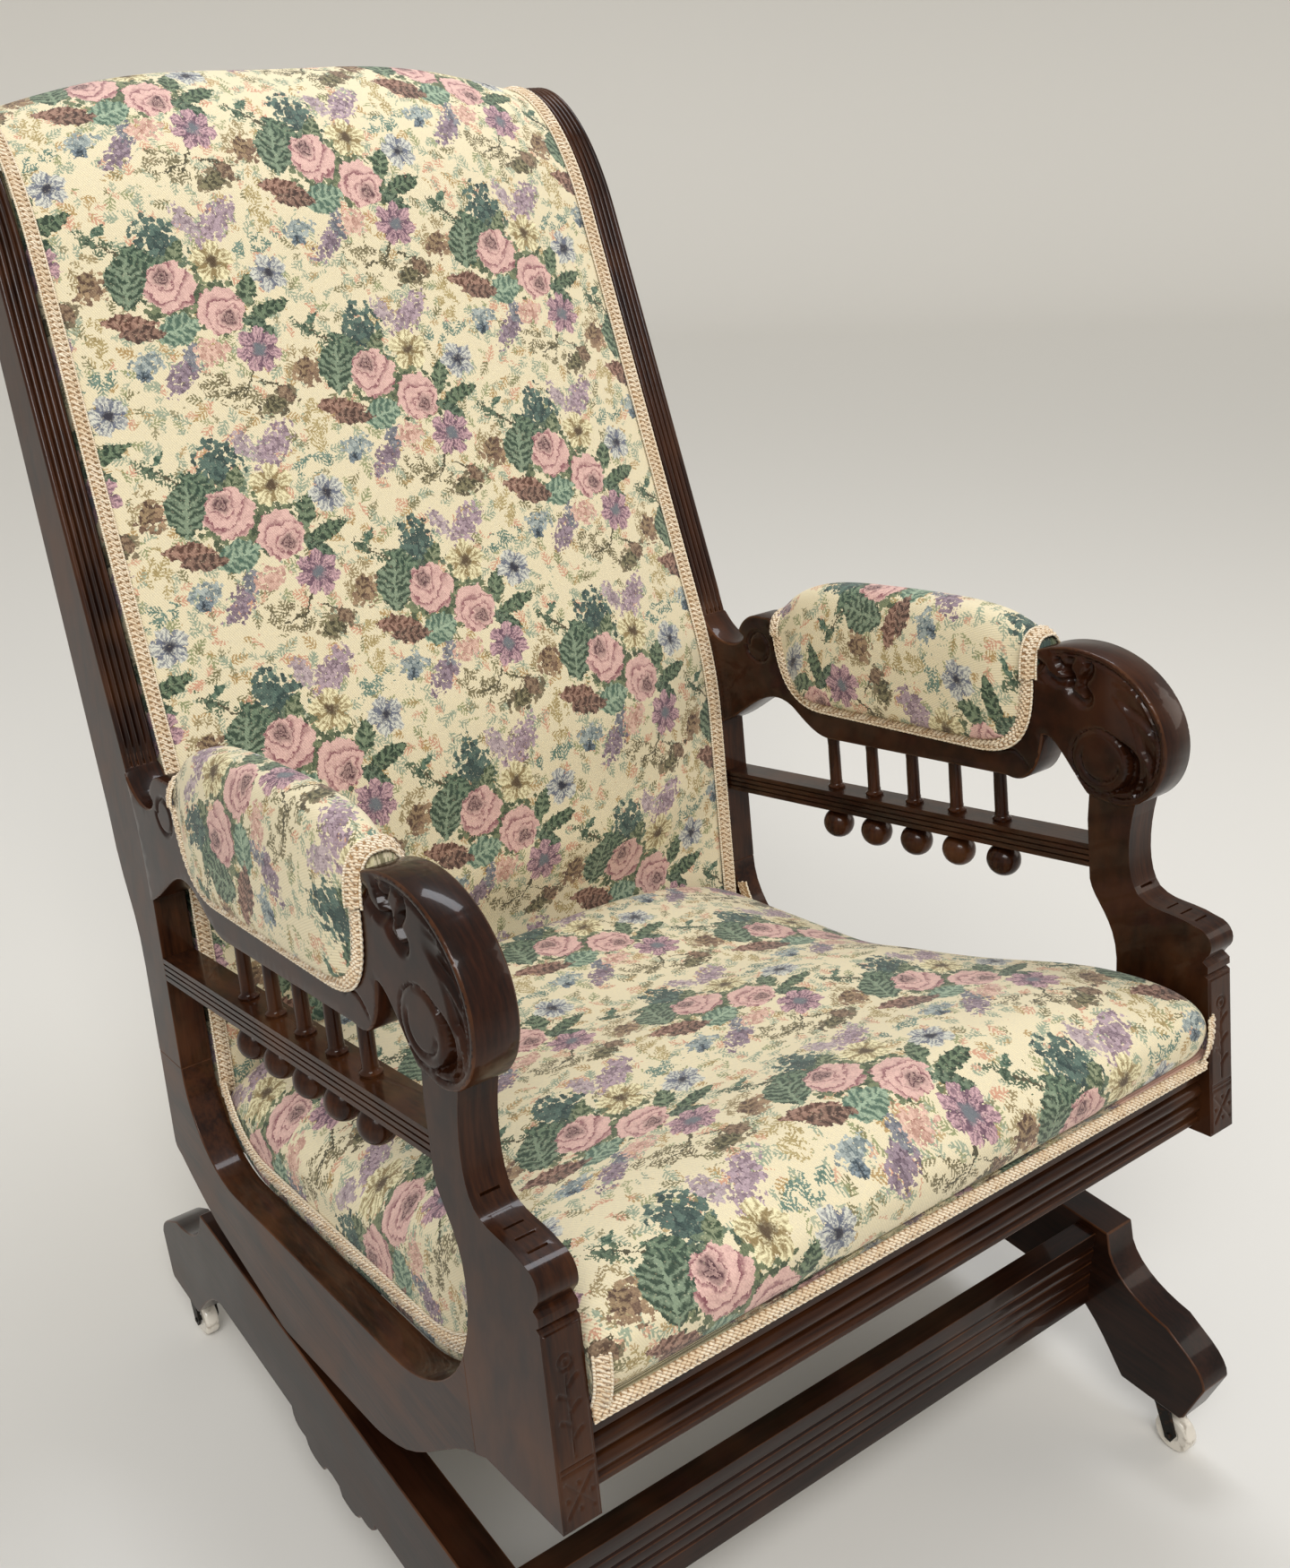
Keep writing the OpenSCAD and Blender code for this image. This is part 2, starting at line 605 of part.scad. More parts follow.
module ball_drops_left() { ball_row(-1); }
module ball_drops_right() { ball_row(1); }

// Arms and their pads
module arm(side) {
    wood() on_rocker() difference() {
        union() {
            slab(side, frame_x - arm_t / 2, frame_x + arm_t / 2, arm_outline);
            translate([side * frame_x - arm_t / 2 - 2.5, scroll_y, scroll_z]) rotate([0, 90, 0])
                cylinder(r = eye_r, h = arm_t + 5);
            translate([side * frame_x - arm_t / 2 - 1.5, volute[0], volute[1]]) rotate([0, 90, 0])
                cylinder(r = volute_r / 2, h = arm_t + 3);
        }
        for (i = [0:spindles - 1]) let (y = spindle_y(i))
            translate([side * frame_x, y, arm_under_at(y) - 2])
                cylinder(r = tenon_r + 0.1, h = tenon_len + 3);
    }
}
module arm_left() { arm(-1); }
module arm_right() { arm(1); }
function line_dir(p, i) = let (d = p[min(i + 1, len(p) - 1)] - p[max(i - 1, 0)]) d / norm(d);
function shifted(p, d) = [
    for (i = [0:len(p) - 1]) p[i] + d * [-line_dir(p, i)[1], line_dir(p, i)[0]]
];
function ribbon(p, w) = concat(shifted(p, w / 2), flip(shifted(p, -w / 2)));
gimp_foot = pad_under + gimp_w / 2;
gimp_line = concat(
    [[pad_front + 8, pad_seat_z - 8]],
    tail(bez([pad_front + 8, pad_seat_z - 8], [pad_front + 9, pad_under + 22],
        [pad_front + 22, gimp_foot], [pad_front + 60, gimp_foot], 7)),
    bez([pad_rear - 58, gimp_foot], [pad_rear - 24, gimp_foot], [pad_rear - 12, pad_under + 26],
        [pad_rear - 8, pad_seat_z - 8], 7)
);
pad_edge = shifted(gimp_line, gimp_w / 2 + gap);
slot_half = arm_t / 2 + gap;
slot_top = pad_seat_z + gap;
// The pad's lower edge runs just inside the braid, and above it at the two ends
function pad_low(y) = y < pad_edge[0][0] || y > pad_edge[len(pad_edge) - 1][0] ? slot_top - 0.1
    : lookup(y, pad_edge);
pad_y0 = pad_front + gap;
pad_y1 = pad_rear - gap;
pad_stations = concat([pad_y0, pad_y0 + 6, pad_edge[0][0] - 0.2], [for (p = pad_edge) p[0]],
    [pad_edge[len(pad_edge) - 1][0] + 0.2, pad_y1 - 6, pad_y1]);
module arm_pad(side) {
    rings = [
        for (y = pad_stations) let (
            t = (y - pad_y0) / (pad_y1 - pad_y0),
            end = pow(abs(2 * t - 1), 4),
            high = pad_top - 26 * end * (t > 0.5 ? 1.1 : 0.7),
            half = slot_half + 2 + (pad_w / 2 - slot_half - 2) * (1 - end)
        ) pad_ring(side, y, pad_low(y), high, half)
    ];
    cloth() on_rocker() skin(rings);
}
// An arch over the board: up the outside, over the crown, down, and back through the slot
function pad_ring(side, y, low, high, half) = concat(
    [for (a = [0:15:180]) let (
        w = half * (1 - 0.10 * pow(1 - sin(a), 2)) * sign(cos(a)) * pow(abs(cos(a)), 0.55),
        h = low + (high - low) * pow(sin(a), 0.75),
        reach = a == 0 || a == 180 ? max(abs(w), slot_half + 2) : abs(w)
    ) [side * frame_x + (abs(a - 90) < 1 ? 0 : reach * sign(w)), y, h]],
    [for (p = [[-1, low], [-1, slot_top], [1, slot_top], [1, low]])
        [side * frame_x + p[0] * slot_half, y, p[1]]]
);
module arm_pad_left() { arm_pad(-1); }
module arm_pad_right() { arm_pad(1); }
module arm_gimp(side) {
    x0 = frame_x - arm_t / 2;
    x1 = frame_x + arm_t / 2;
    braid() on_rocker() {
        slab(side, x0 - gap - gimp_t * 0.6, x0 - gap, ribbon(gimp_line, gimp_w - 1));
        slab(side, x1 + gap, x1 + gap + gimp_t * 0.6, ribbon(gimp_line, gimp_w - 1));
    }
}
module arm_gimp_left() { arm_gimp(-1); }
module arm_gimp_right() { arm_gimp(1); }

// Seat frame
front_y = block_y + 8;
rail_back = front_y + seat_rail_t;
rail_high = seat_rail_z + seat_rail_h;
module front_seat_rail() {
    bead = seat_rail_h / 8;
    z1 = rail_high - seat_rail_h * 0.42;
    z2 = rail_high - seat_rail_h * 0.70;
    outline = concat(
        [[rail_back, rail_high], [front_y + 2, rail_high], [front_y, rail_high - 2],
            [front_y, z1 + bead + 3], [front_y + 4, z1 + bead + 1]],
        arc([front_y + 4, z1], bead, 90, 270, 8), arc([front_y + 4, z2], bead * 0.85, 90, 270, 8),
        [[front_y + 4, z2 - bead * 0.85 - 2], [front_y + 1, z2 - bead * 0.85 - 4],
            [front_y + 1, seat_rail_z + 1], [front_y + 2, seat_rail_z], [rail_back, seat_rail_z]]
    );
    wood() on_rocker() slab(1, -inner_x, inner_x, outline);
}
seat_under = seat_rail_z + 16;
rear_rail_y = opening_rear + 7;
module rear_seat_rail() {
    wood() on_rocker() translate([-inner_x, rear_rail_y, seat_rail_z])
        cube([2 * inner_x, seat_rail_t, seat_rear_z - seat_rail_z - 3]);
}
side_in = inner_x - 4 - seat_rail_t;
module side_seat_rails() {
    wood() on_rocker() for (x = [side_in, -side_in - seat_rail_t])
        translate([x, rail_back, seat_rail_z])
            cube([seat_rail_t, rear_rail_y - rail_back, seat_under - seat_rail_z]);
}
module corner_blocks() {
    leg = 46;
    wood() on_rocker() for (sx = [-1, 1]) {
        translate([sx * side_in, rail_back, seat_rail_z]) linear_extrude(14)
            polygon([[0, 0], [-sx * leg, 0], [0, leg]]);
        translate([sx * side_in, rear_rail_y, seat_rail_z]) linear_extrude(14)
            polygon([[0, 0], [-sx * leg, 0], [0, -leg]]);
    }
}
web_w = 50;
web_t = 0.7;
module seat_webbing() {
    across = 4;
    along = 5;
    deep = rear_rail_y - rail_back + 2 * seat_rail_t - 8;
    wide = 2 * (side_in + seat_rail_t) - 6;
    color([0.55, 0.45, 0.32]) on_rocker() {
        for (i = [0:along - 1]) translate([(i - (along - 1) / 2) * wide / along - web_w / 2,
            rail_back - seat_rail_t + 4, seat_rail_z - web_t]) cube([web_w, deep, web_t]);
        for (i = [0:across - 1]) translate([-wide / 2,
            rail_back + (i + 0.5) * (rear_rail_y - rail_back) / across - web_w / 2,
            seat_rail_z - 2 * web_t - 0.05]) cube([wide, web_w, web_t]);
    }
}
cover_t = 1;
module dust_cover() {
    color([0.12, 0.11, 0.11]) on_rocker()
        translate([-inner_x + 6, front_y + 5, seat_rail_z - 2 * web_t - 0.2 - cover_t])
            cube([2 * inner_x - 12, rear_rail_y + seat_rail_t - 4 - front_y - 5, cover_t]);
}

// Seat cushion: stations from the rounded front edge back to the foot of the back
seat_half = inner_x - 4;
seat_end = opening_rear - 5;
nose_y = block_y - 14;
gimp_top = rail_high + gap + gimp_w;
function seat_edge(y) = seat_rear_z
    + (seat_front_z - seat_rear_z) * (1 - smooth((y - block_y - 38) / 290));
function seat_low(y) = y < front_y + 1.2 ? gimp_top + gap
    : y < rail_back + 0.4 ? rail_high + gap
    : seat_under + gap;
function seat_high(y) = y > block_y + 30 ? seat_edge(y)
    : let (t = (y - nose_y) / (block_y + 30 - nose_y)) gimp_top + 20
        + (seat_edge(block_y + 30) - gimp_top - 20) * sqrt(1 - (1 - t) * (1 - t));
function seat_foot(y) = y < block_y + 4
    ? gimp_top + gap + 18 * (1 - sqrt(1 - pow(1 - (y - nose_y) / (block_y + 4 - nose_y), 2)))
    : seat_low(y);
section = [[0.97, 0], [0.985, 0.12], [0.998, 0.4], [1, 0.7], [0.985, 0.88], [0.95, 0.97],
    [0.9, 1], [0.75, 1], [0.58, 1], [0.4, 1], [0.2, 1], [0, 1]];
function seat_ring(y) = let (
    low = seat_foot(y),
    high = max(seat_high(y), low + 1),
    sprung = seat_sprung(y),
    crown = (seat_crown + (seat_dome - seat_crown) * sprung) * smooth((y - nose_y) / 60),
    fullness = 2.2 + 1.7 * sprung
) concat(
    [for (p = section) seat_point(1, p, y, low, high, crown, fullness)],
    [for (p = flip(section)) if (p[0] > 0) seat_point(-1, p, y, low, high, crown, fullness)]
);
// 0 at the padded front edge, 1 over the springs
function seat_sprung(y) = smooth((y - block_y - 123) / 130);
function seat_point(side, p, y, low, high, crown, fullness) =
    [side * seat_half * p[0], y, low + p[1] * (high - low + crown * (1 - pow(p[0], fullness)))];
seat_stations = concat(
    [nose_y, nose_y + 1, nose_y + 4, nose_y + 9, front_y + 1, front_y + 1.5],
    [rail_back + 0.2, rail_back + 0.6],
    [for (i = [1:14]) rail_back + (seat_end - rail_back) * i / 14]
);
module seat_cushion() { cloth() on_rocker() skin([for (y = seat_stations) seat_ring(y)]); }
module seat_front_gimp() {
    braid() on_rocker() translate([-inner_x + gap, front_y - gimp_t, rail_high + gap])
        cube([2 * (inner_x - gap), gimp_t + 0.5, gimp_w - gap]);
}
side_set = gimp_t + gap + gimp_w / 2;
side_gimp_line = concat(
    [[opening_rear - side_set, rear_corner[1] + 30]],
    arc(rear_corner, rear_corner_r - side_set, 0, -90, 8),
    arc(front_corner, front_corner_r - side_set, 270, 190, 8)
);
module seat_side_gimps() {
    braid() on_rocker() for (side = [-1, 1])
        slab(side, inner_x - gap - gimp_t, inner_x - gap, ribbon(side_gimp_line, gimp_w));
}

// Back: rails, webbing, cushion, braid and outside cloth
low_rail_z = seat_rear_z + 45;
module lower_back_rail() {
    wood() on_rocker() translate([-inner_x, opening_rear + back_pad + 2.2, low_rail_z])
        cube([2 * inner_x, post_depth - back_pad - 6.3, 34]);
}
crest_r = 10;
module crest_rail() {
    wood() on_rocker() translate([-inner_x, roll[0], roll[1]]) rotate([0, 90, 0])
        cylinder(r = crest_r, h = 2 * inner_x);
}
web_last = path_n - roll_steps - 2;
function behind(d) = [for (i = [face_first:web_last]) back_path[i] - (back_thick(i) + d) * path_out(i)];
module back_webbing() {
    straps = 4;
    web_y = opening_rear + back_pad + 0.6;
    foot = [[web_y, low_rail_z + 8], [web_y, shoulder_z]];
    front = concat(foot, behind(0.6), [roll + (crest_r + gap) * [-cos(26), sin(26)]]);
    rear = concat([for (p = foot) p + [1.4, 0]], behind(2), [roll + (crest_r + gap) * [-1, 0.1]]);
    color([0.55, 0.45, 0.32]) on_rocker() for (i = [0:straps - 1])
        translate([(i - (straps - 1) / 2) * 2 * inner_x / straps - web_w / 2, 0, 0])
            rotate([90, 0, 90]) linear_extrude(web_w) polygon(concat(front, flip(rear)));
}
arm_in = frame_x - arm_t / 2;
back_half = arm_in - gimp_w + 1;
// The cushion thins where it goes over the roll, so that it lies on the crest rail
function back_thick(i) = let (
    p = back_path[i],
    t = smooth((p[1] - straight_end[1] + 10) / (curl_rise * 0.75))
) back_pad + (roll_r - crest_r - gap - back_pad) * max(t, p[0] > curl_top[0] ? 1 : 0);
function back_full(i) = let (foot = smooth((back_path[i][1] - seat_rear_z - seat_dome + 6) / 80),
    end = i > path_n - 6 ? (path_n - i) / 6 : 1) (0.06 + 0.94 * foot) * (0.1 + 0.9 * smooth(end));
function crown_at(i) = back_path[i] + back_crown * back_full(i) * path_out(i);
back_section = [[0.985, -1, 0], [1, -0.5, 0], [1, -0.1, 0], [0.99, 0, 0.10], [0.96, 0, 0.30],
    [0.9, 0, 0.5], [0.78, 0, 0.72], [0.6, 0, 0.88], [0.4, 0, 0.96], [0.2, 0, 0.99], [0, 0, 1]];
function back_point(i, x, p) = let (
    q = back_path[i] + (p[1] * back_thick(i) + p[2] * back_crown * back_full(i)) * path_out(i)
) [x, q[0], q[1]];
module back_cushion() {
    rings = [
        for (i = [0:path_n]) concat(
            [for (p = back_section) back_point(i, back_half * p[0], p)],
            [for (p = flip(back_section)) if (p[0] > 0) back_point(i, -back_half * p[0], p)]
        )
    ];
    cloth() on_rocker() skin(rings);
}
module back_gimps() {
    braid() on_rocker() for (side = [-1, 1])
        slab(side, back_half + gap, arm_in - gap, band(gimp_t - 0.5, -5));
}
module outside_back() {
    line = concat([[post_back - 3, joint_z + 4]], flip([for (p = post_rear) p - [3, 0]]),
        [for (p = tail(flip(curl_rear))) p + [-3 * lean[1], 3 * lean[0]]]);
    cloth() on_rocker() slab(1, -inner_x + gap, inner_x - gap, ribbon(line, 1.2));
}

base_rail_left();
base_rail_right();
front_stretcher();
rear_stretcher();
castor_plates();
base_brackets();
base_bracket_screws();
rocker_springs_left();
rocker_springs_right();
castor_fork_front_left();
castor_fork_front_right();
castor_fork_rear_left();
castor_fork_rear_right();
castor_axle_front_left();
castor_axle_front_right();
castor_axle_rear_left();
castor_axle_rear_right();
castor_wheel_front_left();
castor_wheel_front_right();
castor_wheel_rear_left();
castor_wheel_rear_right();
rocker_left();
rocker_right();
front_post_left();
front_post_right();
back_post_left();
back_post_right();
arm_left();
arm_right();
arm_pad_left();
arm_pad_right();
arm_gimp_left();
arm_gimp_right();
gallery_rail_left();
gallery_rail_right();
spindles_left();
spindles_right();
ball_drops_left();
ball_drops_right();
front_seat_rail();
rear_seat_rail();
side_seat_rails();
corner_blocks();
seat_webbing();
dust_cover();
seat_cushion();
seat_front_gimp();
seat_side_gimps();
lower_back_rail();
crest_rail();
back_webbing();
back_cushion();
back_gimps();
outside_back();
rocker_brackets();
rocker_bracket_screws();
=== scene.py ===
"""Platform rocking chair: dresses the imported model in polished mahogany, floral tapestry and gimp braid."""
import math

import bmesh
import bpy
import numpy as np
from bpy.props import FloatProperty, FloatVectorProperty, IntProperty, PointerProperty
from mathutils import Matrix, Vector
from mathutils.geometry import delaunay_2d_cdt


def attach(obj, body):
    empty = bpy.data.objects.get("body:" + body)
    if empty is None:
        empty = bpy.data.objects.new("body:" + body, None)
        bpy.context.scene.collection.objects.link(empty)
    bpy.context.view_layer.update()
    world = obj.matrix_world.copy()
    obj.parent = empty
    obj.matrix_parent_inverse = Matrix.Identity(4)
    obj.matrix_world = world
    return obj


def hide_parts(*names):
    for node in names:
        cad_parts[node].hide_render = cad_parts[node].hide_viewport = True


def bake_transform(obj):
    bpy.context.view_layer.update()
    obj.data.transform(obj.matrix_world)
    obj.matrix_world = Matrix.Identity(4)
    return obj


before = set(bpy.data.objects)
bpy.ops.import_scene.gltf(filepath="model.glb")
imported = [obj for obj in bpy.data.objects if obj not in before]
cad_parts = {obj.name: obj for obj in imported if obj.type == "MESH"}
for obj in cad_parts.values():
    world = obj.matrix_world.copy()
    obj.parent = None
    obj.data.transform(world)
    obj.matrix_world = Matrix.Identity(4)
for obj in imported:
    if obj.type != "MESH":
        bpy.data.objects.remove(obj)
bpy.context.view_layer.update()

bl_info = {
    "name": "Platform Rocking Chair",
    "version": (1, 0, 0),
    "blender": (4, 5, 0),
    "location": "3D View > Sidebar > Rocker",
    "description": "Builds the visible wood, cloth and braid of a platform rocking chair",
    "category": "Add Mesh",
}

# Sizes in millimetres, as in the part's source. Side outlines are [y, z] in the level frame.
MID_Y = 150.489                      # of the chair's box, which stands at Y = 0 in the shared frame
PIVOT = np.array([65.9734, 207.0])   # the axis that the chair rocks about
TILT = math.radians(9)               # how far the empty chair leans back
# Side frames: inner and outer face, middle. Their front blocks: face, top and foot.
INNER, OUTER, FRAME_X = 274.0, 300.0, 287.0
BLOCK_Y, BLOCK_TOP, BLOCK_FOOT = -293.0, 360.0, 238.0
# The opening in each side: front, rear and lowest edge, and the rounding of its lower corners
OPEN_FRONT, OPEN_REAR, OPEN_Z = -219.0, 208.0, 243.0
FRONT_R, REAR_R = 110.0, 76.0
# Arms: underside and thickness. The scroll: middle, radius at its foot, growth a degree, and last degree. VOLUTE is
# the small eye at the rear.
ARM_UNDER, ARM_T = 474.0, 30.0
SCROLL = np.array([-214.0, 506.0])
SCROLL_R, SCROLL_GROW, SCROLL_END = 31.0, 0.0051, 216.0
VOLUTE = np.array([147.0, 544.0])
# Back posts: where the front face leaves the upright, its lean, the straight part, the curl and the rolled top
SHOULDER = 470.0
LEAN = np.array([math.sin(math.radians(16.3)), math.cos(math.radians(16.3))])
LEAN_START = np.array([222.0, 564.0])
STRAIGHT_END = LEAN_START + 400 * LEAN
CURL_TOP = STRAIGHT_END + [111, 125]
ROLL_R = 24.0
ROLL = CURL_TOP - [0, ROLL_R]
# The back's padding and its crown, and the radius of the crest rail that it is drawn over
BACK_PAD, BACK_CROWN, CREST_R = 28.0, 28.0, 10.0
# Arm pads: front, rear, the board's edge that they lie on, lower edge and top
PAD_FRONT, PAD_REAR, PAD_SEAT, PAD_UNDER, PAD_TOP = -158.0, 126.0, 566.0, 494.0, 611.0
GIMP_W = 13.0        # the braid's width
RAIL_HIGH = 290.0    # top of the front rail


# ---- plane geometry

def bez(a, b, c, d, n=16):
    """A cubic curve from a to d with handles b and c, in n steps."""
    a, b, c, d = (np.asarray(v, float) for v in (a, b, c, d))
    t = np.linspace(0, 1, n + 1)[:, None]
    u = 1 - t
    return u ** 3 * a + 3 * u * u * t * b + 3 * u * t * t * c + t ** 3 * d


def arc(c, r, a0, a1, n=16):
    """An arc about c from angle a0 to a1 in degrees, in n steps."""
    a = np.radians(np.linspace(a0, a1, n + 1))
    return np.asarray(c) + r * np.stack([np.cos(a), np.sin(a)], 1)


def join(*parts):
    """One line from several, with the repeated points where they meet left out."""
    pts = np.concatenate([np.atleast_2d(np.asarray(p, float)) for p in parts])
    keep = np.r_[True, np.linalg.norm(np.diff(pts, axis=0), axis=1) > 0.05]
    return pts[keep]


def smooth(t):
    """0 below 0, 1 above 1, and an even curve between."""
    u = np.clip(t, 0, 1)
    return u * u * (3 - 2 * u)


def directions(p):
    """The way a line runs at each of its points."""
    d = np.gradient(p, axis=0)
    return d / np.linalg.norm(d, axis=1)[:, None]


def left_of(d):
    """Directions of a side line turned by a quarter to their left."""
    return np.stack([-d[:, 1], d[:, 0]], 1)


def run_length(p):
    """The length of a line up to each of its points."""
    return np.r_[0, np.cumsum(np.linalg.norm(np.diff(p, axis=0), axis=1))]


def resample(p, step):
    """The same line with points a step apart."""
    s = run_length(p)
    n = max(2, int(round(s[-1] / step)) + 1)
    t = np.linspace(0, s[-1], n)
    return np.stack([np.interp(t, s, p[:, k]) for k in range(p.shape[1])], 1)


def tipped(points):
    """Level millimetres to the chair's own frame in metres, leaning back as the empty chair rests."""
    p = np.array(points, float)
    dy, dz = p[..., 1] - PIVOT[0], p[..., 2] - PIVOT[1]
    c, s = math.cos(TILT), math.sin(TILT)
    out = np.empty_like(p)
    out[..., 0] = p[..., 0]
    out[..., 1] = PIVOT[0] + dy * c + dz * s - MID_Y
    out[..., 2] = PIVOT[1] - dy * s + dz * c
    return out / 1000


def upright(points):
    """Millimetres of the base, which stands level, to the chair's own frame in metres."""
    p = np.array(points, float)
    p[..., 1] -= MID_Y
    return p / 1000


def scroll_at(a):
    """The rim of the arm's scroll, a spiral that grows with the angle in degrees from its foot."""
    a = np.asarray(a, float)
    r = SCROLL_R * np.exp(SCROLL_GROW * a)
    return SCROLL + np.stack([-r * np.sin(np.radians(a)), -r * np.cos(np.radians(a))], -1)


def post_face():
    """The front face of a back post, from the side opening up and over the rolled top."""
    shoulder = bez([OPEN_REAR, SHOULDER], [OPEN_REAR, SHOULDER + 40], LEAN_START - 26 * LEAN, LEAN_START)
    curl = bez(STRAIGHT_END, STRAIGHT_END + 60 * LEAN, CURL_TOP - [55, 0], CURL_TOP, 24)
    return shoulder, curl


# ---- meshes

ALL_SMOOTH = 180   # degrees between faces, which no edge reaches


def in_scene(name, data):
    """A new object of this data in the scene."""
    obj = bpy.data.objects.new(name, data)
    bpy.context.scene.collection.objects.link(obj)
    return obj


def add_mesh(name, verts, faces, materials=(), smooth_angle=35.0, uv=None, slots=None):
    """A new object at the origin, with edges sharper than smooth_angle in degrees left sharp.

    uv gives each point its place on the cloth in metres, and slots each face its material.
    """
    mesh = bpy.data.meshes.new(name)
    mesh.from_pydata([tuple(v) for v in np.asarray(verts, float)], [], [tuple(f) for f in faces])
    mesh.update()
    for m in materials:
        mesh.materials.append(m)
    if slots is not None:
        mesh.polygons.foreach_set("material_index", np.asarray(slots, np.int32))
    mesh.shade_smooth()
    if smooth_angle < ALL_SMOOTH:
        mesh.set_sharp_from_angle(angle=math.radians(smooth_angle))
    if uv is not None:
        layer = mesh.uv_layers.new(name="cloth")
        loops = np.empty(len(mesh.loops), np.int32)
        mesh.loops.foreach_get("vertex_index", loops)
        layer.data.foreach_set("uv", np.asarray(uv, np.float32)[loops].ravel())
    return in_scene(name, mesh)


def grid_faces(rows, cols, closed=False):
    """Four-sided faces between the points of a grid, whose last column meets the first where it is closed."""
    i, j = np.meshgrid(np.arange(rows - 1), np.arange(cols if closed else cols - 1), indexing="ij")
    k = (j + 1) % cols
    return np.stack([i * cols + j, i * cols + k, (i + 1) * cols + k, (i + 1) * cols + j], -1).reshape(-1, 4).tolist()


def closed_faces(rows, cols):
    """Faces of a closed loft, whose ends are fans about two points that follow those of the grid."""
    low, high, top = rows * cols, rows * cols + 1, (rows - 1) * cols
    return (grid_faces(rows, cols, closed=True) + [(low, (i + 1) % cols, i) for i in range(cols)]
            + [(high, top + i, top + (i + 1) % cols) for i in range(cols)])


def outward(obj, weld=True, sharp=None):
    """The object with its double points made one, its normals turned outwards, and its sharp edges found again."""
    bm = bmesh.new()
    bm.from_mesh(obj.data)
    if weld:
        bmesh.ops.remove_doubles(bm, verts=bm.verts, dist=2e-6)
    bmesh.ops.recalc_face_normals(bm, faces=bm.faces)
    bm.to_mesh(obj.data)
    bm.free()
    if sharp:
        obj.data.shade_smooth()
        obj.data.set_sharp_from_angle(angle=math.radians(sharp))
    return obj


def plain(obj):
    """The object with its modifiers made part of its mesh."""
    graph = bpy.context.evaluated_depsgraph_get()
    mesh = bpy.data.meshes.new_from_object(obj.evaluated_get(graph))
    mesh.name = obj.name
    if obj.type == "MESH":
        obj.modifiers.clear()
        obj.data = mesh
        return obj
    new = in_scene(obj.name, mesh)
    bpy.data.objects.remove(obj)
    new.name = mesh.name
    return new


def dressed(node, name, body, finish, worn=None, bevel=0.0012, angle=28.0, segments=2):
    """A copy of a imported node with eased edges, which shows in its place.

    The edges sharper than angle in degrees are eased by bevel in metres, and get the worn finish.
    """
    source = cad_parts[node]
    bm = bmesh.new()
    bm.from_mesh(source.data)
    bmesh.ops.remove_doubles(bm, verts=bm.verts, dist=1e-5)
    bmesh.ops.dissolve_limit(bm, angle_limit=math.radians(1.0), verts=bm.verts, edges=bm.edges)
    mesh = bpy.data.meshes.new(name)
    bm.to_mesh(mesh)
    bm.free()
    mesh.materials.clear()
    mesh.materials.append(finish)
    mesh.materials.append(worn or finish)
    mesh.polygons.foreach_set("material_index", np.zeros(len(mesh.polygons), np.int32))
    mesh.shade_smooth()
    mesh.set_sharp_from_angle(angle=math.radians(angle))
    obj = in_scene(name, mesh)
    if bevel:
        ease = obj.modifiers.new("eased_edges", "BEVEL")
        ease.width, ease.segments, ease.limit_method = bevel, segments, "ANGLE"
        ease.angle_limit = math.radians(angle)
        ease.material = 1
        ease.harden_normals = True
        obj = plain(obj)
    finish_piece(obj, body, [node])


def finish_piece(obj, body, nodes=()):
    """The body a piece rides on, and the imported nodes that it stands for."""
    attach(obj, body)
    if nodes:
        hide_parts(*nodes)


# ---- materials

def linear(hex_colour):
    """An sRGB hex value as linear RGBA."""
    h = hex_colour.lstrip("#")
    c = [int(h[i:i + 2], 16) / 255 for i in (0, 2, 4)]
    return tuple(v / 12.92 if v <= 0.04045 else ((v + 0.055) / 1.055) ** 2.4 for v in c) + (1.0,)


# Short words for common nodes: type, inputs in order, output, the setting that a second word picks, fixed settings
WORDS = {
    "math": ("ShaderNodeMath", (0, 1, 2), 0, "operation", {}),
    "vector": ("ShaderNodeVectorMath", (0, 1, "Scale"), 0, "operation", {}),
    "mix": ("ShaderNodeMix", ("Factor", 6, 7), 2, "blend_type", {"data_type": "RGBA"}),
    "noise": ("ShaderNodeTexNoise", ("Vector", "Scale", "Detail", "Roughness"), "Fac", "", {}),
    "span": ("ShaderNodeMapRange", (0, 1, 2, 3, 4), 0, "", {"interpolation_type": "SMOOTHSTEP"}),
    "split": ("ShaderNodeSeparateXYZ", (0,), slice(0, 3), "", {}),
}


class Net:
    """One node tree, with a short way to add and join its nodes."""

    def __init__(self, tree):
        self.tree = tree

    def join(self, socket, value):
        """Give a socket an output of another node, a hex colour or a plain value. None leaves it as it is."""
        if isinstance(value, bpy.types.NodeSocket):
            self.tree.links.new(value, socket)
        elif value is not None:
            socket.default_value = linear(value) if isinstance(value, str) else value

    def add(self, what, *values, **settings):
        """A node with its inputs and settings.

        what is a word of WORDS, such as "mix" or "vector SCALE", or a Math operation in capitals: these take their
        inputs in order and give the output. Any other is a node type, takes a dict of inputs and gives the node.
        """
        word, _, choice = ("math " + what if what.isupper() else what).partition(" ")
        kind, sockets, output, chosen, fixed = WORDS.get(word, (word, (), None, "", {}))
        node = self.tree.nodes.new(kind)
        for name, value in {**fixed, **({chosen: choice} if choice else {}), **settings}.items():
            setattr(node, name, value)
        inputs = values[0] if values and isinstance(values[0], dict) else dict(zip(sockets, values))
        for name, value in inputs.items():
            self.join(node.inputs[name], value)
        return node if output is None else node.outputs[output]


def new_material(name):
    """A material with its net and its shader."""
    m = bpy.data.materials.new(name)
    m.use_nodes = True
    return m, Net(m.node_tree), m.node_tree.nodes["Principled BSDF"]


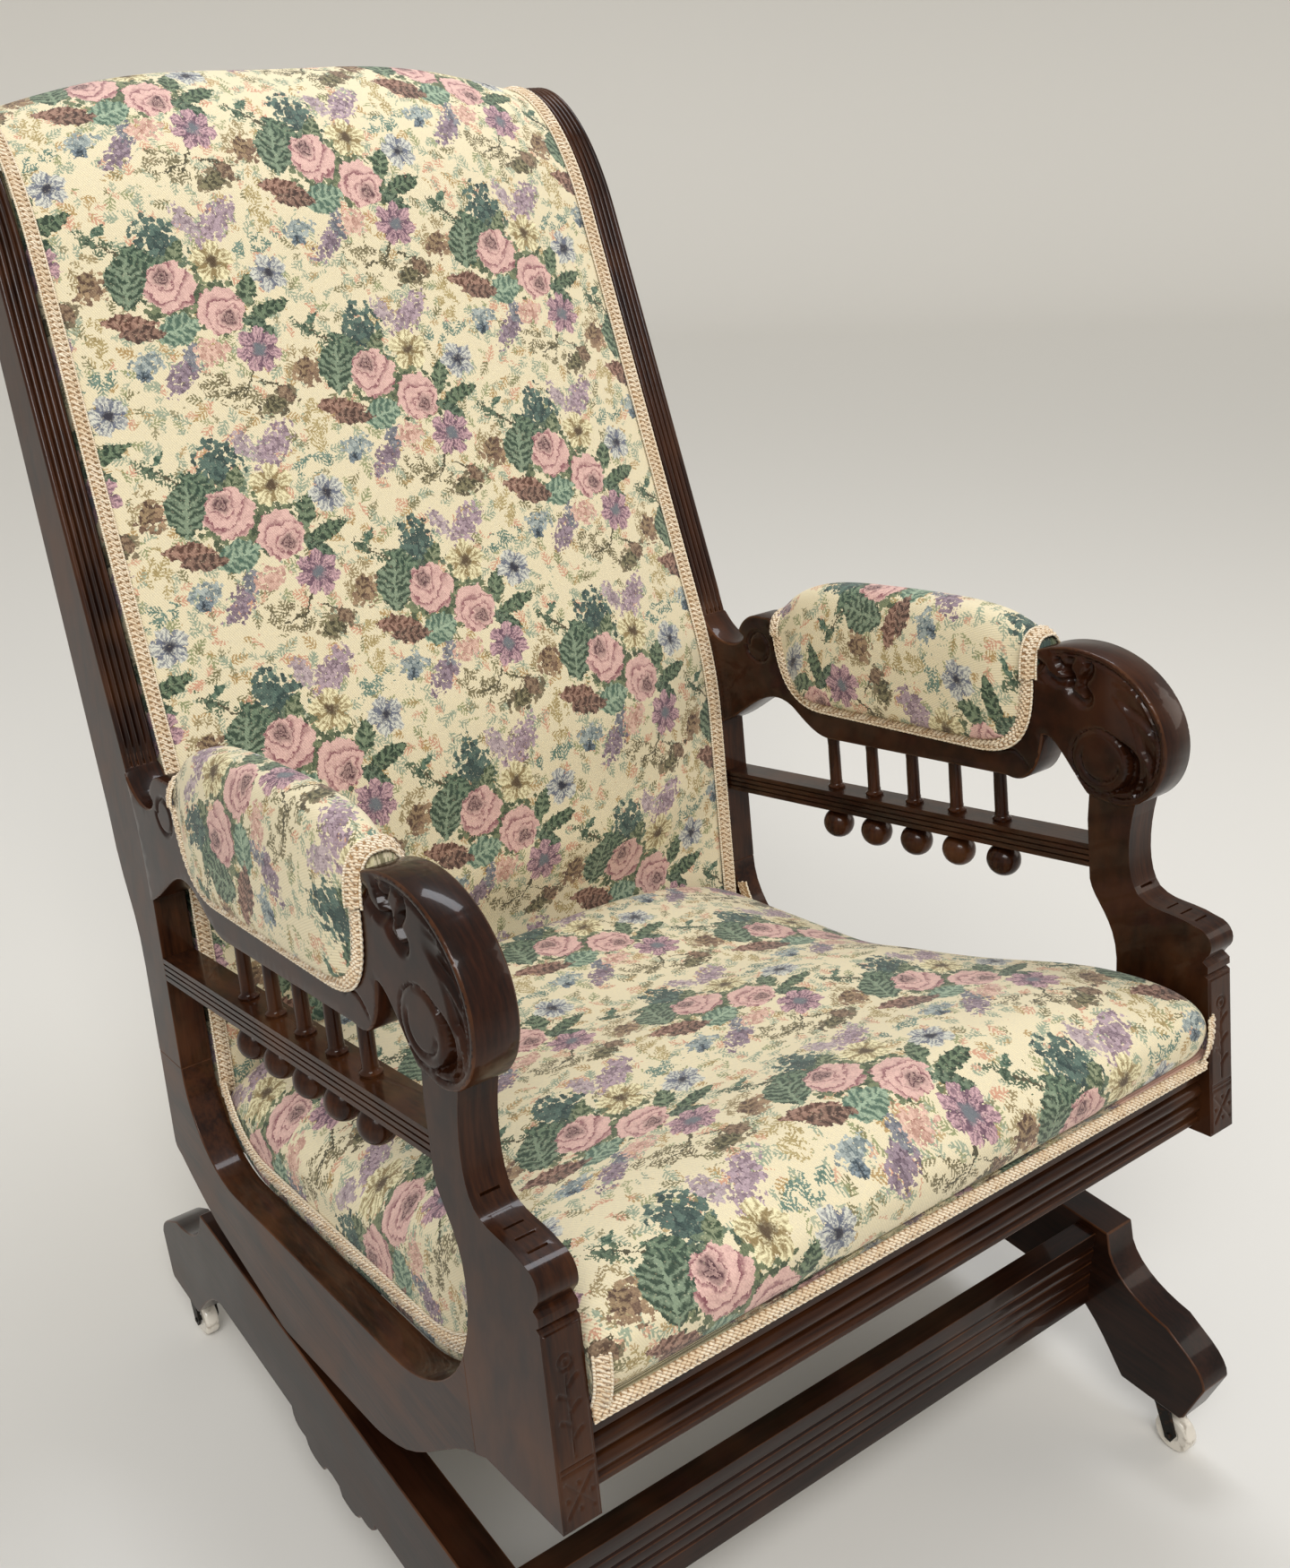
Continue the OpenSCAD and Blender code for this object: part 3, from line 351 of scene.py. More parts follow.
def object_coords(net, size_mm):
    """The piece's own place, counted in steps of size_mm along x, y and z."""
    place = net.add("ShaderNodeTexCoord").outputs["Object"]
    scale = [1000 / v for v in size_mm]
    return net.add("ShaderNodeMapping", {"Vector": place, "Scale": scale}).outputs[0]


def surface(net, shader, colour, rough, height, strength, relief_mm, **others):
    """The shader's own sockets: colour, roughness, relief of a height in mm, and others by their names."""
    net.join(shader.inputs["Base Color"], colour)
    net.join(shader.inputs["Roughness"], rough)
    for name, value in others.items():
        net.join(shader.inputs[name.replace("_", " ")], value)
    if height is not None:
        bump = net.add("ShaderNodeBump", {"Height": height, "Strength": strength, "Distance": relief_mm / 1000})
        net.join(shader.inputs["Normal"], bump.outputs[0])


CLOUD_MM = 71.43   # patches of lighter stain, nearly a hand's width


def mahogany(name, dark, mid, light, streak_mm, rough=0.30):
    """Stained and polished mahogany: dark streaks along the grain, cloudy stain, and a thin uneven polish.

    streak_mm is the size of a streak along x, y and z. A real pore is 0.3 mm wide, too fine to show, so pores are
    drawn as streaks nearly 3 mm wide. They give the eye a warm brown that breaks up along the grain, and the polish
    gives it soft windows of light.
    """
    m, net, shader = new_material(name)
    grain = object_coords(net, streak_mm)
    broad = net.add("noise", grain, 0.15, 3.0)
    fine = net.add("noise", grain, 1.0, 4.0, 0.6)
    cloudy = net.add("noise", object_coords(net, (CLOUD_MM,) * 3), 1.0, 2.0)
    tone = net.add("MULTIPLY_ADD", fine, 0.55, net.add("MULTIPLY", broad, 0.6))
    colour = net.add("mix", net.add("span", tone, 0.38, 0.78), dark, mid)
    colour = net.add("mix", net.add("MULTIPLY", net.add("span", cloudy, 0.5, 0.75), 0.45), colour, light)
    surface(net, shader, colour, net.add("MULTIPLY_ADD", cloudy, 0.22, rough - 0.08),
            net.add("ADD", fine, net.add("MULTIPLY", cloudy, 0.6)), 0.10, 0.6,
            Coat_Weight=0.3, Coat_Roughness=0.07, Specular_IOR_Level=0.08)
    return m


def iron(name, colour, rough=0.5, spot_mm=4.545):
    """Blackened iron: a dull black metal, with brown bloom where the black has worn.

    The bloom's real specks are under 1 mm and are drawn 4.5 mm wide, so that they show.
    """
    m, net, shader = new_material(name)
    spots = net.add("noise", object_coords(net, (spot_mm,) * 3), 1.0, 4.0, 0.65)
    surface(net, shader, net.add("mix", net.add("span", spots, 0.5, 0.7), colour, "#4a3426"),
            net.add("span", spots, 0.3, 0.7, rough - 0.12, rough + 0.15), spots, 0.25, 0.4, Metallic=0.75)
    return m


def china(name, dirt_mm=6.25):
    """Glazed china: an off-white body under a clear hard glaze, with faint dirt in patches 6 mm wide."""
    m, net, shader = new_material(name)
    dirt = net.add("noise", object_coords(net, (dirt_mm,) * 3), 1.0, 3.0)
    colour = net.add("mix", net.add("span", dirt, 0.52, 0.75), "#d6cfc2", "#a2988a")
    surface(net, shader, colour, 0.14, None, 0, 0, Coat_Weight=0.5, Coat_Roughness=0.05)
    return m


def plain_cloth(name, warp, weft, thread_mm=1.6):
    """Plain woven cloth: two thread colours that cross over and under, matt, with a faint sheen of loose fibre.

    The cotton's real threads are 0.5 mm apart, and are drawn about three times as coarse, so that they show.
    """
    m, net, shader = new_material(name)
    p = object_coords(net, (thread_mm,) * 3)
    x, y, z = net.add("split", p)
    along = net.add("SINE", net.add("MULTIPLY", net.add("ADD", y, z), math.pi))
    over = net.add("MULTIPLY", along, net.add("SINE", net.add("MULTIPLY", x, math.pi)))
    tone = net.add("MULTIPLY_ADD", over, 0.3, net.add("noise", p, 0.8, 2.0))
    surface(net, shader, net.add("mix", net.add("span", tone, 0.25, 0.8), warp, weft), 0.9, over, 0.35, 0.4,
            Sheen_Weight=0.15)
    return m


# ---- tapestry: a rose bunch that repeats in a half drop. All its sizes are millimetres of cloth.

COLUMN, REPEAT = 155.0, 187.0   # measured on the photographed seat and back
# Sprays of leaves or florets: centre x, y, half length, half width, turn, kind, dark, light
SPRAYS = [
    (-4, 2, 50, 27, -20, "leaf", "#3c4a36", "#77805c"), (-18, 48, 27, 19, 100, "leaf", "#2c403f", "#587064"),
    (-62, 52, 26, 7, -40, "fern", "#42543f", "#6b7a5e"), (-24, 30, 26, 10, 15, "leaf", "#33443a", "#6c7c62"),
    (31, 59, 25, 12, 44, "floret", "#6d5763", "#b39aa2"), (7, 64, 15, 8, 118, "floret", "#7a6670", "#bba7a8"),
    (-24, -57, 25, 10, 44, "floret", "#5c4a58", "#9a8590"), (-14, -44, 12, 8, 80, "floret", "#50545f", "#86868c"),
    (1, -44, 15, 11, 10, "floret", "#a3705f", "#dcb39d"), (-52, -45, 15, 9, 5, "floret", "#4d5f66", "#a9b2ab"),
    (8, -78, 28, 12, -30, "fern", "#5d5439", "#8f8460"), (74, -62, 20, 12, 60, "fern", "#8a7750", "#a8966a"),
    (62, 40, 22, 8, 12, "fern", "#4d6a5c", "#7d9484"), (-76, 22, 15, 12, 20, "leaf", "#65493a", "#a38561"),
    (46, -92, 20, 10, 20, "leaf", "#4b4434", "#88795a"), (-82, -22, 24, 10, 84, "fern", "#9a8450", "#b9a66f"),
]
# Leaves: centre x, y, half length, half width, turn, dark, light
LEAVES = [
    (-50, 23, 24, 17, 78, "#2f4435", "#7f9175"), (-36, 40, 18, 8, -42, "#2d4437", "#6d8266"),
    (-20, -22, 20, 13, 12, "#4a6656", "#98ad90"), (-56, -11, 23, 8, -12, "#573529", "#a27a66"),
    (-47, -21, 20, 7, -6, "#46302a", "#8f6c5a"), (44, 3, 15, 8, 70, "#2c4030", "#768767"),
    (58, -16, 22, 7, 16, "#24382b", "#6a7d5e"), (46, -28, 17, 6, -35, "#293d30", "#6a7c63"),
    (-9, 37, 16, 7, 58, "#384a33", "#868f6c"), (-70, 58, 8, 3, -45, "#324536", "#5f7159"),
    (-62, 66, 8, 3, 35, "#345041", "#647c65"), (42, -94, 14, 6, 20, "#403c2a", "#847c58"),
    (54, -87, 10, 6, -50, "#5a4334", "#93785c"), (-80, 27, 11, 6, 60, "#523a2d", "#9a7f5a"),
]
# Open flowers: centre x, y, radius, petals, turn, dark, light, heart
FLOWERS = [
    (21, 29, 18, 2.5, 12, "#8d7748", "#eadfae", "#54422d"), (66, 14, 16, 2.5, 30, "#63697a", "#d3d2c2", "#2f2f3d"),
    (41, -48, 19, 3.5, -70, "#66485a", "#c79da1", "#6b7076"), (-55, -54, 6, 1.0, 0, "#35454f", "#7e8c93", "#26323d"),
]
# Roses: centre x, y, radius, heart x, y inside the rose
ROSES = [(-18, 13, 22, -0.22, 0.40), (18, -12, 21, 0.24, -0.34)]
# Stems, each a thin leaf: centre x, y, half length, turn
STEMS = [(-58, 50, 28, -40), (26, -72, 20, 62), (12, -80, 14, 15), (46, -78, 18, -20), (-84, 4, 16, 70)]


def repeats(items, reach):
    """The items, with one more of each that crosses the edge of the cell, as the neighbouring cell has it."""
    out = []
    for item in items:
        x, y, r = item[0], item[1], item[reach]
        for i in (-1, 0, 1):
            for j in (-1, 0, 1):
                cx, cy = x + i * COLUMN, y + j * REPEAT + (REPEAT / 2 if i else 0)
                if abs(cx) < COLUMN / 2 + 0.8 * r and abs(cy) < REPEAT / 2 + 0.8 * r:
                    out.append((cx, cy) + item[2:])
    return out


def bunch_group():
    """The rose bunch as a node group, in plain numbers so that the shader stays small enough to compile."""
    tree = bpy.data.node_groups.new("rose_bunch", "ShaderNodeTree")
    for name in ("X", "Y", "Leaf edge", "Leaf tone", "Floret edge", "Floret tone", "Fern", "Tone"):
        tree.interface.new_socket(name, in_out="INPUT", socket_type="NodeSocketFloat")
    tree.interface.new_socket("Color", in_out="OUTPUT", socket_type="NodeSocketColor")
    tree.interface.new_socket("Cover", in_out="OUTPUT", socket_type="NodeSocketFloat")
    net = Net(tree)
    gx, gy, leaf_edge, leaf_tone, floret_edge, floret_tone, fern, tone = net.add("NodeGroupInput").outputs[:8]
    colour, cover = None, None

    def inside(cx, cy, a, b, turn):
        """Place within a turned ellipse, along and across, each 1 at its edge."""
        c, s = math.cos(math.radians(turn)), math.sin(math.radians(turn))
        u = net.add("MULTIPLY_ADD", gx, c / a, net.add("MULTIPLY_ADD", gy, s / a, -(cx * c + cy * s) / a))
        v = net.add("MULTIPLY_ADD", gx, -s / b, net.add("MULTIPLY_ADD", gy, c / b, (cx * s - cy * c) / b))
        return u, v

    def square(u, v):
        """Distance squared from the middle."""
        return net.add("MULTIPLY_ADD", u, u, net.add("MULTIPLY", v, v))

    def lay(mask, paint):
        """Put one form over those before it."""
        nonlocal colour, cover
        colour = paint if colour is None else net.add("mix", mask, colour, paint)
        cover = mask if cover is None else net.add("MAXIMUM", cover, mask)

    kinds = {"leaf": (leaf_edge, leaf_tone), "floret": (floret_edge, floret_tone), "fern": (fern, tone)}
    for x, y, a, b, turn, kind, dark, light in repeats(SPRAYS, 2):
        edge, fill = kinds[kind]
        lay(net.add("LESS_THAN", square(*inside(x, y, a, b, turn)), edge), net.add("mix", fill, dark, light))
    for x, y, length, turn in STEMS:
        u, v = inside(x, y, length, 1.0, turn)
        lay(net.add("LESS_THAN", net.add("MULTIPLY_ADD", u, u, net.add("ABSOLUTE", v)), 1.0), "#4f4a36")
    for x, y, a, b, turn, dark, light in repeats(LEAVES, 2):
        u, v = inside(x, y, a, b, turn)
        side = net.add("ABSOLUTE", v)
        rib = net.add("SINE", net.add("MULTIPLY_ADD", u, a * 0.95, net.add("MULTIPLY", side, -b * 0.6)))
        shade = net.add("MULTIPLY_ADD", rib, 0.55, net.add("MULTIPLY_ADD", tone, 0.5, 0.12))
        shade = net.add("MAXIMUM", shade, net.add("LESS_THAN", side, 0.08), use_clamp=True)
        # A leaf's half width falls away towards its tips, which makes them pointed
        lay(net.add("LESS_THAN", net.add("MULTIPLY_ADD", u, u, side), 1.0), net.add("mix", shade, dark, light))
    for x, y, r, petals, turn, dark, light, heart in repeats(FLOWERS, 2):
        u, v = inside(x, y, r, r, turn)
        d, angle = net.add("SQRT", square(u, v)), net.add("ARCTAN2", v, u)
        lobes = net.add("ABSOLUTE", net.add("COSINE", net.add("MULTIPLY", angle, petals)))
        reach = net.add("MULTIPLY_ADD", net.add("SQRT", lobes), 0.42, 0.6)
        rays = net.add("SINE", net.add("MULTIPLY_ADD", angle, 8 * petals, net.add("MULTIPLY", d, 3.0)))
        shade = net.add("MULTIPLY_ADD", d, 0.5, net.add("MULTIPLY_ADD", tone, 0.5, 0.0))
        shade = net.add("MULTIPLY_ADD", rays, 0.45, shade)
        shade = net.add("SUBTRACT", shade, net.add("MULTIPLY", net.add("LESS_THAN", lobes, 0.3), 0.9), use_clamp=True)
        paint = net.add("mix", net.add("span", d, 0.42, 0.14), net.add("mix", shade, dark, light), heart)
        lay(net.add("LESS_THAN", d, reach), paint)
    for x, y, r, hx, hy in ROSES:
        u, v = inside(x, y, r, r, 0)
        d, angle = net.add("SQRT", square(u, v)), net.add("ARCTAN2", v, u)
        reach = net.add("MULTIPLY_ADD", net.add("SINE", net.add("MULTIPLY_ADD", angle, 6.0, 0.6)), 0.05, 0.94)
        hu, hv = net.add("ADD", u, -hx), net.add("ADD", v, -hy)
        hd, ha = net.add("SQRT", square(hu, hv)), net.add("ARCTAN2", hv, hu)
        # Petals round the heart, each dark where the one inside lies over it and pale at its lip
        wobble = net.add("SINE", net.add("MULTIPLY_ADD", ha, 3.0, net.add("MULTIPLY", hd, 4.0)))
        turns = net.add("MULTIPLY_ADD", net.add("SQRT", hd), 4.1, 0.3)
        petal = net.add("FRACT", net.add("MULTIPLY_ADD", wobble, 0.24, turns))
        shade = net.add("MULTIPLY_ADD", tone, 0.4, -0.12)
        shade = net.add("MULTIPLY_ADD", net.add("span", petal, 0.0, 0.42), 0.85, shade)
        paint = net.add("mix", net.add("MINIMUM", shade, 1.0), "#81454f", "#dcb0a3")
        core = net.add("MULTIPLY", net.add("span", hd, 0.5, 0.15), net.add("MULTIPLY_ADD", petal, -0.6, 1.0))
        lay(net.add("LESS_THAN", d, reach), net.add("mix", core, paint, "#43242f"))
    out = net.add("NodeGroupOutput")
    net.join(out.inputs[0], colour)
    net.join(out.inputs[1], cover)
    return tree


def scattered(net, place, cell_mm, jitter):
    """One turned spot a cell: the place along and across it in mm, and two random numbers of its own."""
    spot = net.add("ShaderNodeTexVoronoi", {"Vector": place, "Scale": 1 / cell_mm, "Randomness": jitter},
                   voronoi_dimensions="2D", feature="F1")
    r, g, b = net.add("split", spot.outputs["Color"])
    x, y, _ = net.add("split", net.add("vector SUBTRACT", place, spot.outputs["Position"]))
    turn = net.add("MULTIPLY", r, 6.283)
    c, s = net.add("COSINE", turn), net.add("SINE", turn)
    along = net.add("MULTIPLY_ADD", x, c, net.add("MULTIPLY", y, s))
    return along, net.add("SUBTRACT", net.add("MULTIPLY", y, c), net.add("MULTIPLY", x, s)), g, b


def leaf_field(net, place, cell_mm, length, width):
    """Small leaves strewn over the cloth, lengths and widths in mm: cover, and two random numbers."""
    along, side, g, b = scattered(net, place, cell_mm, 0.9)
    u, w = net.add("DIVIDE", along, length), net.add("DIVIDE", side, width)
    return net.add("LESS_THAN", net.add("MULTIPLY_ADD", u, u, net.add("ABSOLUTE", w)), 1.0), g, b


TWIG_MM = 3.3   # twigs of a sprig, one every four stitches


def sprig_field(net, place, cell_mm, half, width):
    """Feathery bent sprigs, half lengths and widths in mm: cover, and a random number for the dye."""
    along, side, g, b = scattered(net, place, cell_mm, 0.85)
    bend = net.add("MULTIPLY_ADD", g, 0.08, -0.04)
    off = net.add("ABSOLUTE", net.add("MULTIPLY_ADD", net.add("MULTIPLY", along, along), bend, side))
    u = net.add("DIVIDE", along, half)
    wide = net.add("MULTIPLY", net.add("MULTIPLY_ADD", u, net.add("MULTIPLY", u, -1.0), 1.0), width)
    slant = net.add("MULTIPLY", net.add("MULTIPLY_ADD", off, -0.9, along), 2 * math.pi / TWIG_MM)
    twigs = net.add("GREATER_THAN", net.add("SINE", slant), 0.05)
    fern = net.add("MULTIPLY", twigs, net.add("LESS_THAN", off, wide))
    stem = net.add("MULTIPLY", net.add("LESS_THAN", off, 0.5), net.add("GREATER_THAN", wide, 0.0))
    return net.add("MAXIMUM", fern, stem), b


STITCH_MM = 0.8    # a stitch of the picture, a little under 1 mm
RIB_MM = 1.9       # slanting ribs of the ground weave
DYES = ("#a98a58", "#8a8f66", "#c8947a", "#8f9c86", "#94713f", "#6f6a48", "#be9070")   # of the sprigs


def tapestry(name):
    """Jacquard tapestry: coloured wefts on a cream cotton ground, matt, with the stepped outlines of its stitches."""
    m, net, shader = new_material(name)
    uv = net.add("ShaderNodeUVMap", uv_map="cloth").outputs[0]
    mm = net.add("vector SCALE", uv, None, 1000.0)
    place = net.add("vector SNAP", mm, (STITCH_MM, STITCH_MM, 1.0))
    stitch = net.add("ShaderNodeTexWhiteNoise", {"Vector": place}, noise_dimensions="2D").outputs["Value"]
    # Outlines waver by a few mm, in waves of 6 mm
    wave = net.add("ShaderNodeTexNoise", {"Vector": place, "Scale": 0.17, "Detail": 2.5, "Roughness": 0.6},
                   noise_dimensions="2D").outputs["Color"]
    shake = net.add("vector SCALE", net.add("vector SUBTRACT", wave, (0.5, 0.5, 0.5)), None, 9.0)
    # Leaves 5 mm and florets 2.5 mm long: how far a spray's edge reaches with them, and how light each one is
    leaf, leaf_reach, leaf_dye = leaf_field(net, place, 4.8, 4.8, 2.5)
    floret, floret_reach, floret_dye = leaf_field(net, place, 3.0, 2.3, 1.9)
    leaf_edge = net.add("MULTIPLY_ADD", net.add("MULTIPLY_ADD", leaf_reach, 1.1, 0.2), leaf, 0.2)
    leaf_tone = net.add("MULTIPLY_ADD", net.add("MULTIPLY_ADD", leaf_dye, 1.0, 0.15), leaf,
                        net.add("MULTIPLY_ADD", stitch, 0.3, -0.25))
    floret_edge = net.add("MULTIPLY_ADD", net.add("MULTIPLY_ADD", floret_reach, 0.95, 0.25), floret, 0.15)
    floret_tone = net.add("MULTIPLY_ADD", net.add("MULTIPLY_ADD", floret_dye, 0.9, 0.2), floret,
                          net.add("MULTIPLY_ADD", stitch, 0.3, -0.15))

    # Pale sprigs between the bunches, in patches about 22 mm wide: cell, half length and width in mm, cover, patch
    colour = net.add("mix", net.add("MULTIPLY", stitch, 0.4), "#e4d8b8", "#cfc096")
    gentle = net.add("vector ADD", place, net.add("vector SCALE", shake, None, 0.22))
    patches = net.add("noise", place, 0.045, 1.0, noise_dimensions="2D")
    ferns = []
    for cell, half, width, cover, patch in ((14.0, 8.8, 4.6, 0.9, 0.42), (11.0, 5.4, 3.2, 0.75, 0.5)):
        sprig, pick = sprig_field(net, gentle, cell, half, width)
        ferns.append(sprig)
        dye = net.add("ShaderNodeValToRGB", {"Fac": pick})
        ramp = dye.color_ramp
        ramp.interpolation = "CONSTANT"
        for k, c in enumerate(DYES):
            stop = ramp.elements[k] if k < 2 else ramp.elements.new(0.5)
            stop.position, stop.color = k / len(DYES), linear(c)
        shown = net.add("MULTIPLY", sprig, net.add("GREATER_THAN", patches, patch))
        colour = net.add("mix", net.add("MULTIPLY", shown, cover), colour, dye.outputs[0])

    # Fold the cloth into one cell about the middle of a bunch, every other column dropped by half
    px, py, _ = net.add("split", place)
    sx, sy, _ = net.add("split", shake)
    column = net.add("ROUND", net.add("DIVIDE", px, COLUMN))
    fx = net.add("MULTIPLY_ADD", column, -COLUMN, px)
    drop = net.add("MULTIPLY_ADD", net.add("FRACT", net.add("MULTIPLY", column, 0.5)), REPEAT, py)
    fy = net.add("WRAP", drop, REPEAT / 2, -REPEAT / 2)
    tone = net.add("MULTIPLY_ADD", stitch, 0.4, net.add("MULTIPLY", leaf_dye, 0.6))
    bunch = net.add("ShaderNodeGroup", node_tree=bunch_group())
    for k, value in enumerate((net.add("ADD", fx, sx), net.add("ADD", fy, sy), leaf_edge, leaf_tone, floret_edge,
                               floret_tone, net.add("MAXIMUM", *ferns), tone)):
        net.join(bunch.inputs[k], value)
    muted = net.add("ShaderNodeHueSaturation", {"Saturation": 0.9, "Value": 1.0, "Color": bunch.outputs[0]})
    # A stitch of the ground shows through here and there
    through = net.add("MULTIPLY_ADD", net.add("GREATER_THAN", stitch, 0.97), -0.25, 0.98)
    colour = net.add("mix", net.add("MULTIPLY", bunch.outputs[1], through), colour, muted.outputs[0])

    x, y, _ = net.add("split", mm)
    rib = net.add("SINE", net.add("MULTIPLY", net.add("MULTIPLY_ADD", y, 0.6, x), 2 * math.pi / RIB_MM))
    shade = net.add("MULTIPLY_ADD", rib, 0.03, net.add("MULTIPLY_ADD", stitch, 0.16, 0.89))
    grey = net.add("ShaderNodeCombineXYZ", {0: shade, 1: shade, 2: shade}).outputs[0]
    surface(net, shader, net.add("mix MULTIPLY", 1.0, colour, grey), 0.88,
            net.add("MULTIPLY_ADD", stitch, 0.5, rib), 0.30, 0.4, Sheen_Weight=0.12, Specular_IOR_Level=0.25)
    return m


def braid_cord(name, pale, paler, shadow, twist_mm=1.6):
    """Twisted rayon cord: a soft shine, and yarn that slants across it with a darker line of painted shade between
    its strands.

    The yarn's real twist is 1 mm long, and is drawn a little coarser.
    """
    m, net, shader = new_material(name)
    p = object_coords(net, (twist_mm,) * 3)
    x, y, z = net.add("split", p)
    yarn = net.add("SINE", net.add("MULTIPLY", net.add("ADD", net.add("ADD", x, y), z), math.pi))
    # The cord is paler here and there, over some eight twists
    colour = net.add("mix", net.add("span", net.add("noise", p, 0.12, 2.0), 0.35, 0.65), pale, paler)
    # Painted shade in the grooves between the strands
    colour = net.add("mix", net.add("span", yarn, -1.0, 0.2), shadow, colour)
    surface(net, shader, colour, 0.62, yarn, 0.4, 0.3, Sheen_Weight=0.25)
    return m


# Woods: name, dark, middle and light stain, size of a streak along x, y and z in mm, roughness. The grain runs up
# the side boards, across the rails, and from front to back in the lengthwise pieces.
# The second stain is darker: painted shade for the base rails and stretchers, which stand in shadow under the seat
STAIN, SHADE_DARKENED_STAIN = ("#180a05", "#3c200f", "#55331b"), ("#0f0603", "#27130a", "#3b2112")
WOODS = {
    "side": ("polished_mahogany_side", *STAIN, (2.778, 13.89, 33.33)),
    "rail": ("polished_mahogany_rail", *STAIN, (41.67, 2.778, 2.778)),
    "run": ("polished_mahogany_lengthwise", *STAIN, (2.778, 41.67, 2.778)),
    "worn": ("rubbed_mahogany_edge", "#2b160a", "#4a2b17", "#664026", (5.556, 11.11, 16.67), 0.26),
    "turned": ("turned_mahogany", "#1f0d06", "#3f2211", "#5a371e", (2.778, 2.778, 27.78), 0.24),
    "carved": ("carved_mahogany", "#160904", "#34190c", "#4e2e19", (2.778, 16.67, 16.67)),
    # Painted shade: the base and its stretchers take the darker stain
    "base": ("darkened_mahogany_base", *SHADE_DARKENED_STAIN, (2.778, 41.67, 2.778)),
    "stretcher": ("darkened_mahogany_stretcher", *SHADE_DARKENED_STAIN, (41.67, 2.778, 2.778)),
    "beech": ("planed_beech", "#a57c52", "#bd9368", "#cfa97e", (33.33, 2.778, 2.778), 0.6),
}
MATS = {}


def materials():
    """Every finish by a short name, made on the first call."""
    if not MATS:
        MATS.update({key: mahogany(*row) for key, row in WOODS.items()})
        MATS["iron"] = iron("blackened_iron", "#1b1917")
        MATS["spring"] = iron("oiled_spring_steel", "#35312c", 0.42)
        MATS["china"] = china("glazed_china")
        MATS["tapestry"] = tapestry("floral_tapestry")
        MATS["backing"] = plain_cloth("plain_cotton_backing", "#d3c397", "#e2d5ad")
        MATS["jute"] = plain_cloth("jute_webbing", "#80633d", "#a98b5c", 3.0)
        MATS["lining"] = plain_cloth("black_lining", "#16150f", "#26241f", 1.4)
        MATS["braid"] = braid_cord("gimp_braid_cord", "#e4cfae", "#f3e5cb", "#ae8d68")
        MATS["braid_edge"] = braid_cord("gimp_braid_edge", "#e8d9bd", "#f6ead2", "#c0a581", 1.3)
        # The braid's ground is a tan of its own, darkened further as painted shade in the gaps between the loops
        MATS["braid_flat"] = plain_cloth("gimp_braid_ground", "#9c7a54", "#b8966c", 1.2)
    return MATS


# ---- geometry nodes

def piece_tree(name, sockets, make):
    """The geometry group of this name, made on first use: make() gives its geometry, and the finish goes on it."""
    if name in bpy.data.node_groups:
        return bpy.data.node_groups[name]
    tree = bpy.data.node_groups.new(name, "GeometryNodeTree")
    for label, kind in (("Geometry", "Geometry"), *sockets, ("Finish", "Material")):
        tree.interface.new_socket(label, in_out="INPUT", socket_type="NodeSocket" + kind)
    tree.interface.new_socket("Geometry", in_out="OUTPUT", socket_type="NodeSocketGeometry")
    net = Net(tree)
    given = net.add("NodeGroupInput").outputs
    real = net.add("GeometryNodeRealizeInstances", {"Geometry": make(net, given)})
    done = net.add("GeometryNodeSetMaterial", {"Geometry": real.outputs[0], "Material": given["Finish"]})
    net.join(net.add("NodeGroupOutput").inputs[0], done.outputs[0])
    return tree


def cord_along_path(net, given):
    """A closed round tube along a path."""
    ring = net.add("GeometryNodeCurvePrimitiveCircle", {"Resolution": given["Sides"], "Radius": given["Radius"]})
    return net.add("GeometryNodeCurveToMesh", {"Curve": given["Geometry"], "Profile Curve": ring.outputs[0],
                                               "Fill Caps": True}).outputs[0]


def turnings_in_row(net, given):
    """Copies of a turned piece a step apart, each tipped the same way."""
    line = net.add("GeometryNodeMeshLine", {"Count": given["Count"], "Start Location": given["First"],
                                            "Offset": given["Step"]})
    piece = net.add("GeometryNodeObjectInfo", {"Object": given["Piece"]})
    tip = net.add("FunctionNodeEulerToRotation", {"Euler": given["Tip"]})
    return net.add("GeometryNodeInstanceOnPoints", {
        "Points": line.outputs[0], "Instance": piece.outputs["Geometry"], "Rotation": tip.outputs[0]}).outputs[0]


def run_tree(obj, tree, finish, values):
    """The object's mesh as the geometry group makes it from these values."""
    mod = obj.modifiers.new(tree.name, "NODES")
    mod.node_group = tree
    values["Finish"] = finish
    for item in tree.interface.items_tree:
        if item.item_type == "SOCKET" and item.in_out == "INPUT" and item.name in values:
            mod[item.identifier] = values[item.name]
    name = obj.name
    new = plain(obj)
    new.name = name
    new.data.name = name
    new.data.shade_smooth()
    new.data.materials.clear()
    new.data.materials.append(finish)
    return new


def cords(name, paths, radius, finish, sides):
    """Round cords along lines of points in metres, as one mesh."""
    curve = bpy.data.curves.new(name, "CURVE")
    curve.dimensions = "3D"
    for path in paths:
        spline = curve.splines.new("POLY")
        spline.points.add(len(path) - 1)
        spline.points.foreach_set("co", np.c_[path, np.ones(len(path))].ravel())
    obj = in_scene(name, curve)
    tree = piece_tree("cord_along_path", (("Radius", "Float"), ("Sides", "Int")), cord_along_path)
    return run_tree(obj, tree, finish, {"Radius": radius, "Sides": sides})


TURNED_EDGE = 50   # degrees between faces, above which a turned edge is sharp


def turning(name, profile, sides=24):
    """A turned piece about Z from a line of [radius, height] in metres."""
    a = np.linspace(0, 2 * math.pi, sides, endpoint=False)
    rings = np.array([[(r * math.cos(t), r * math.sin(t), z) for t in a] for r, z in profile])
    verts = rings.reshape(-1, 3).tolist() + [(0, 0, profile[0][1]), (0, 0, profile[-1][1])]
    return outward(add_mesh(name, verts, closed_faces(len(profile), sides), smooth_angle=TURNED_EDGE))


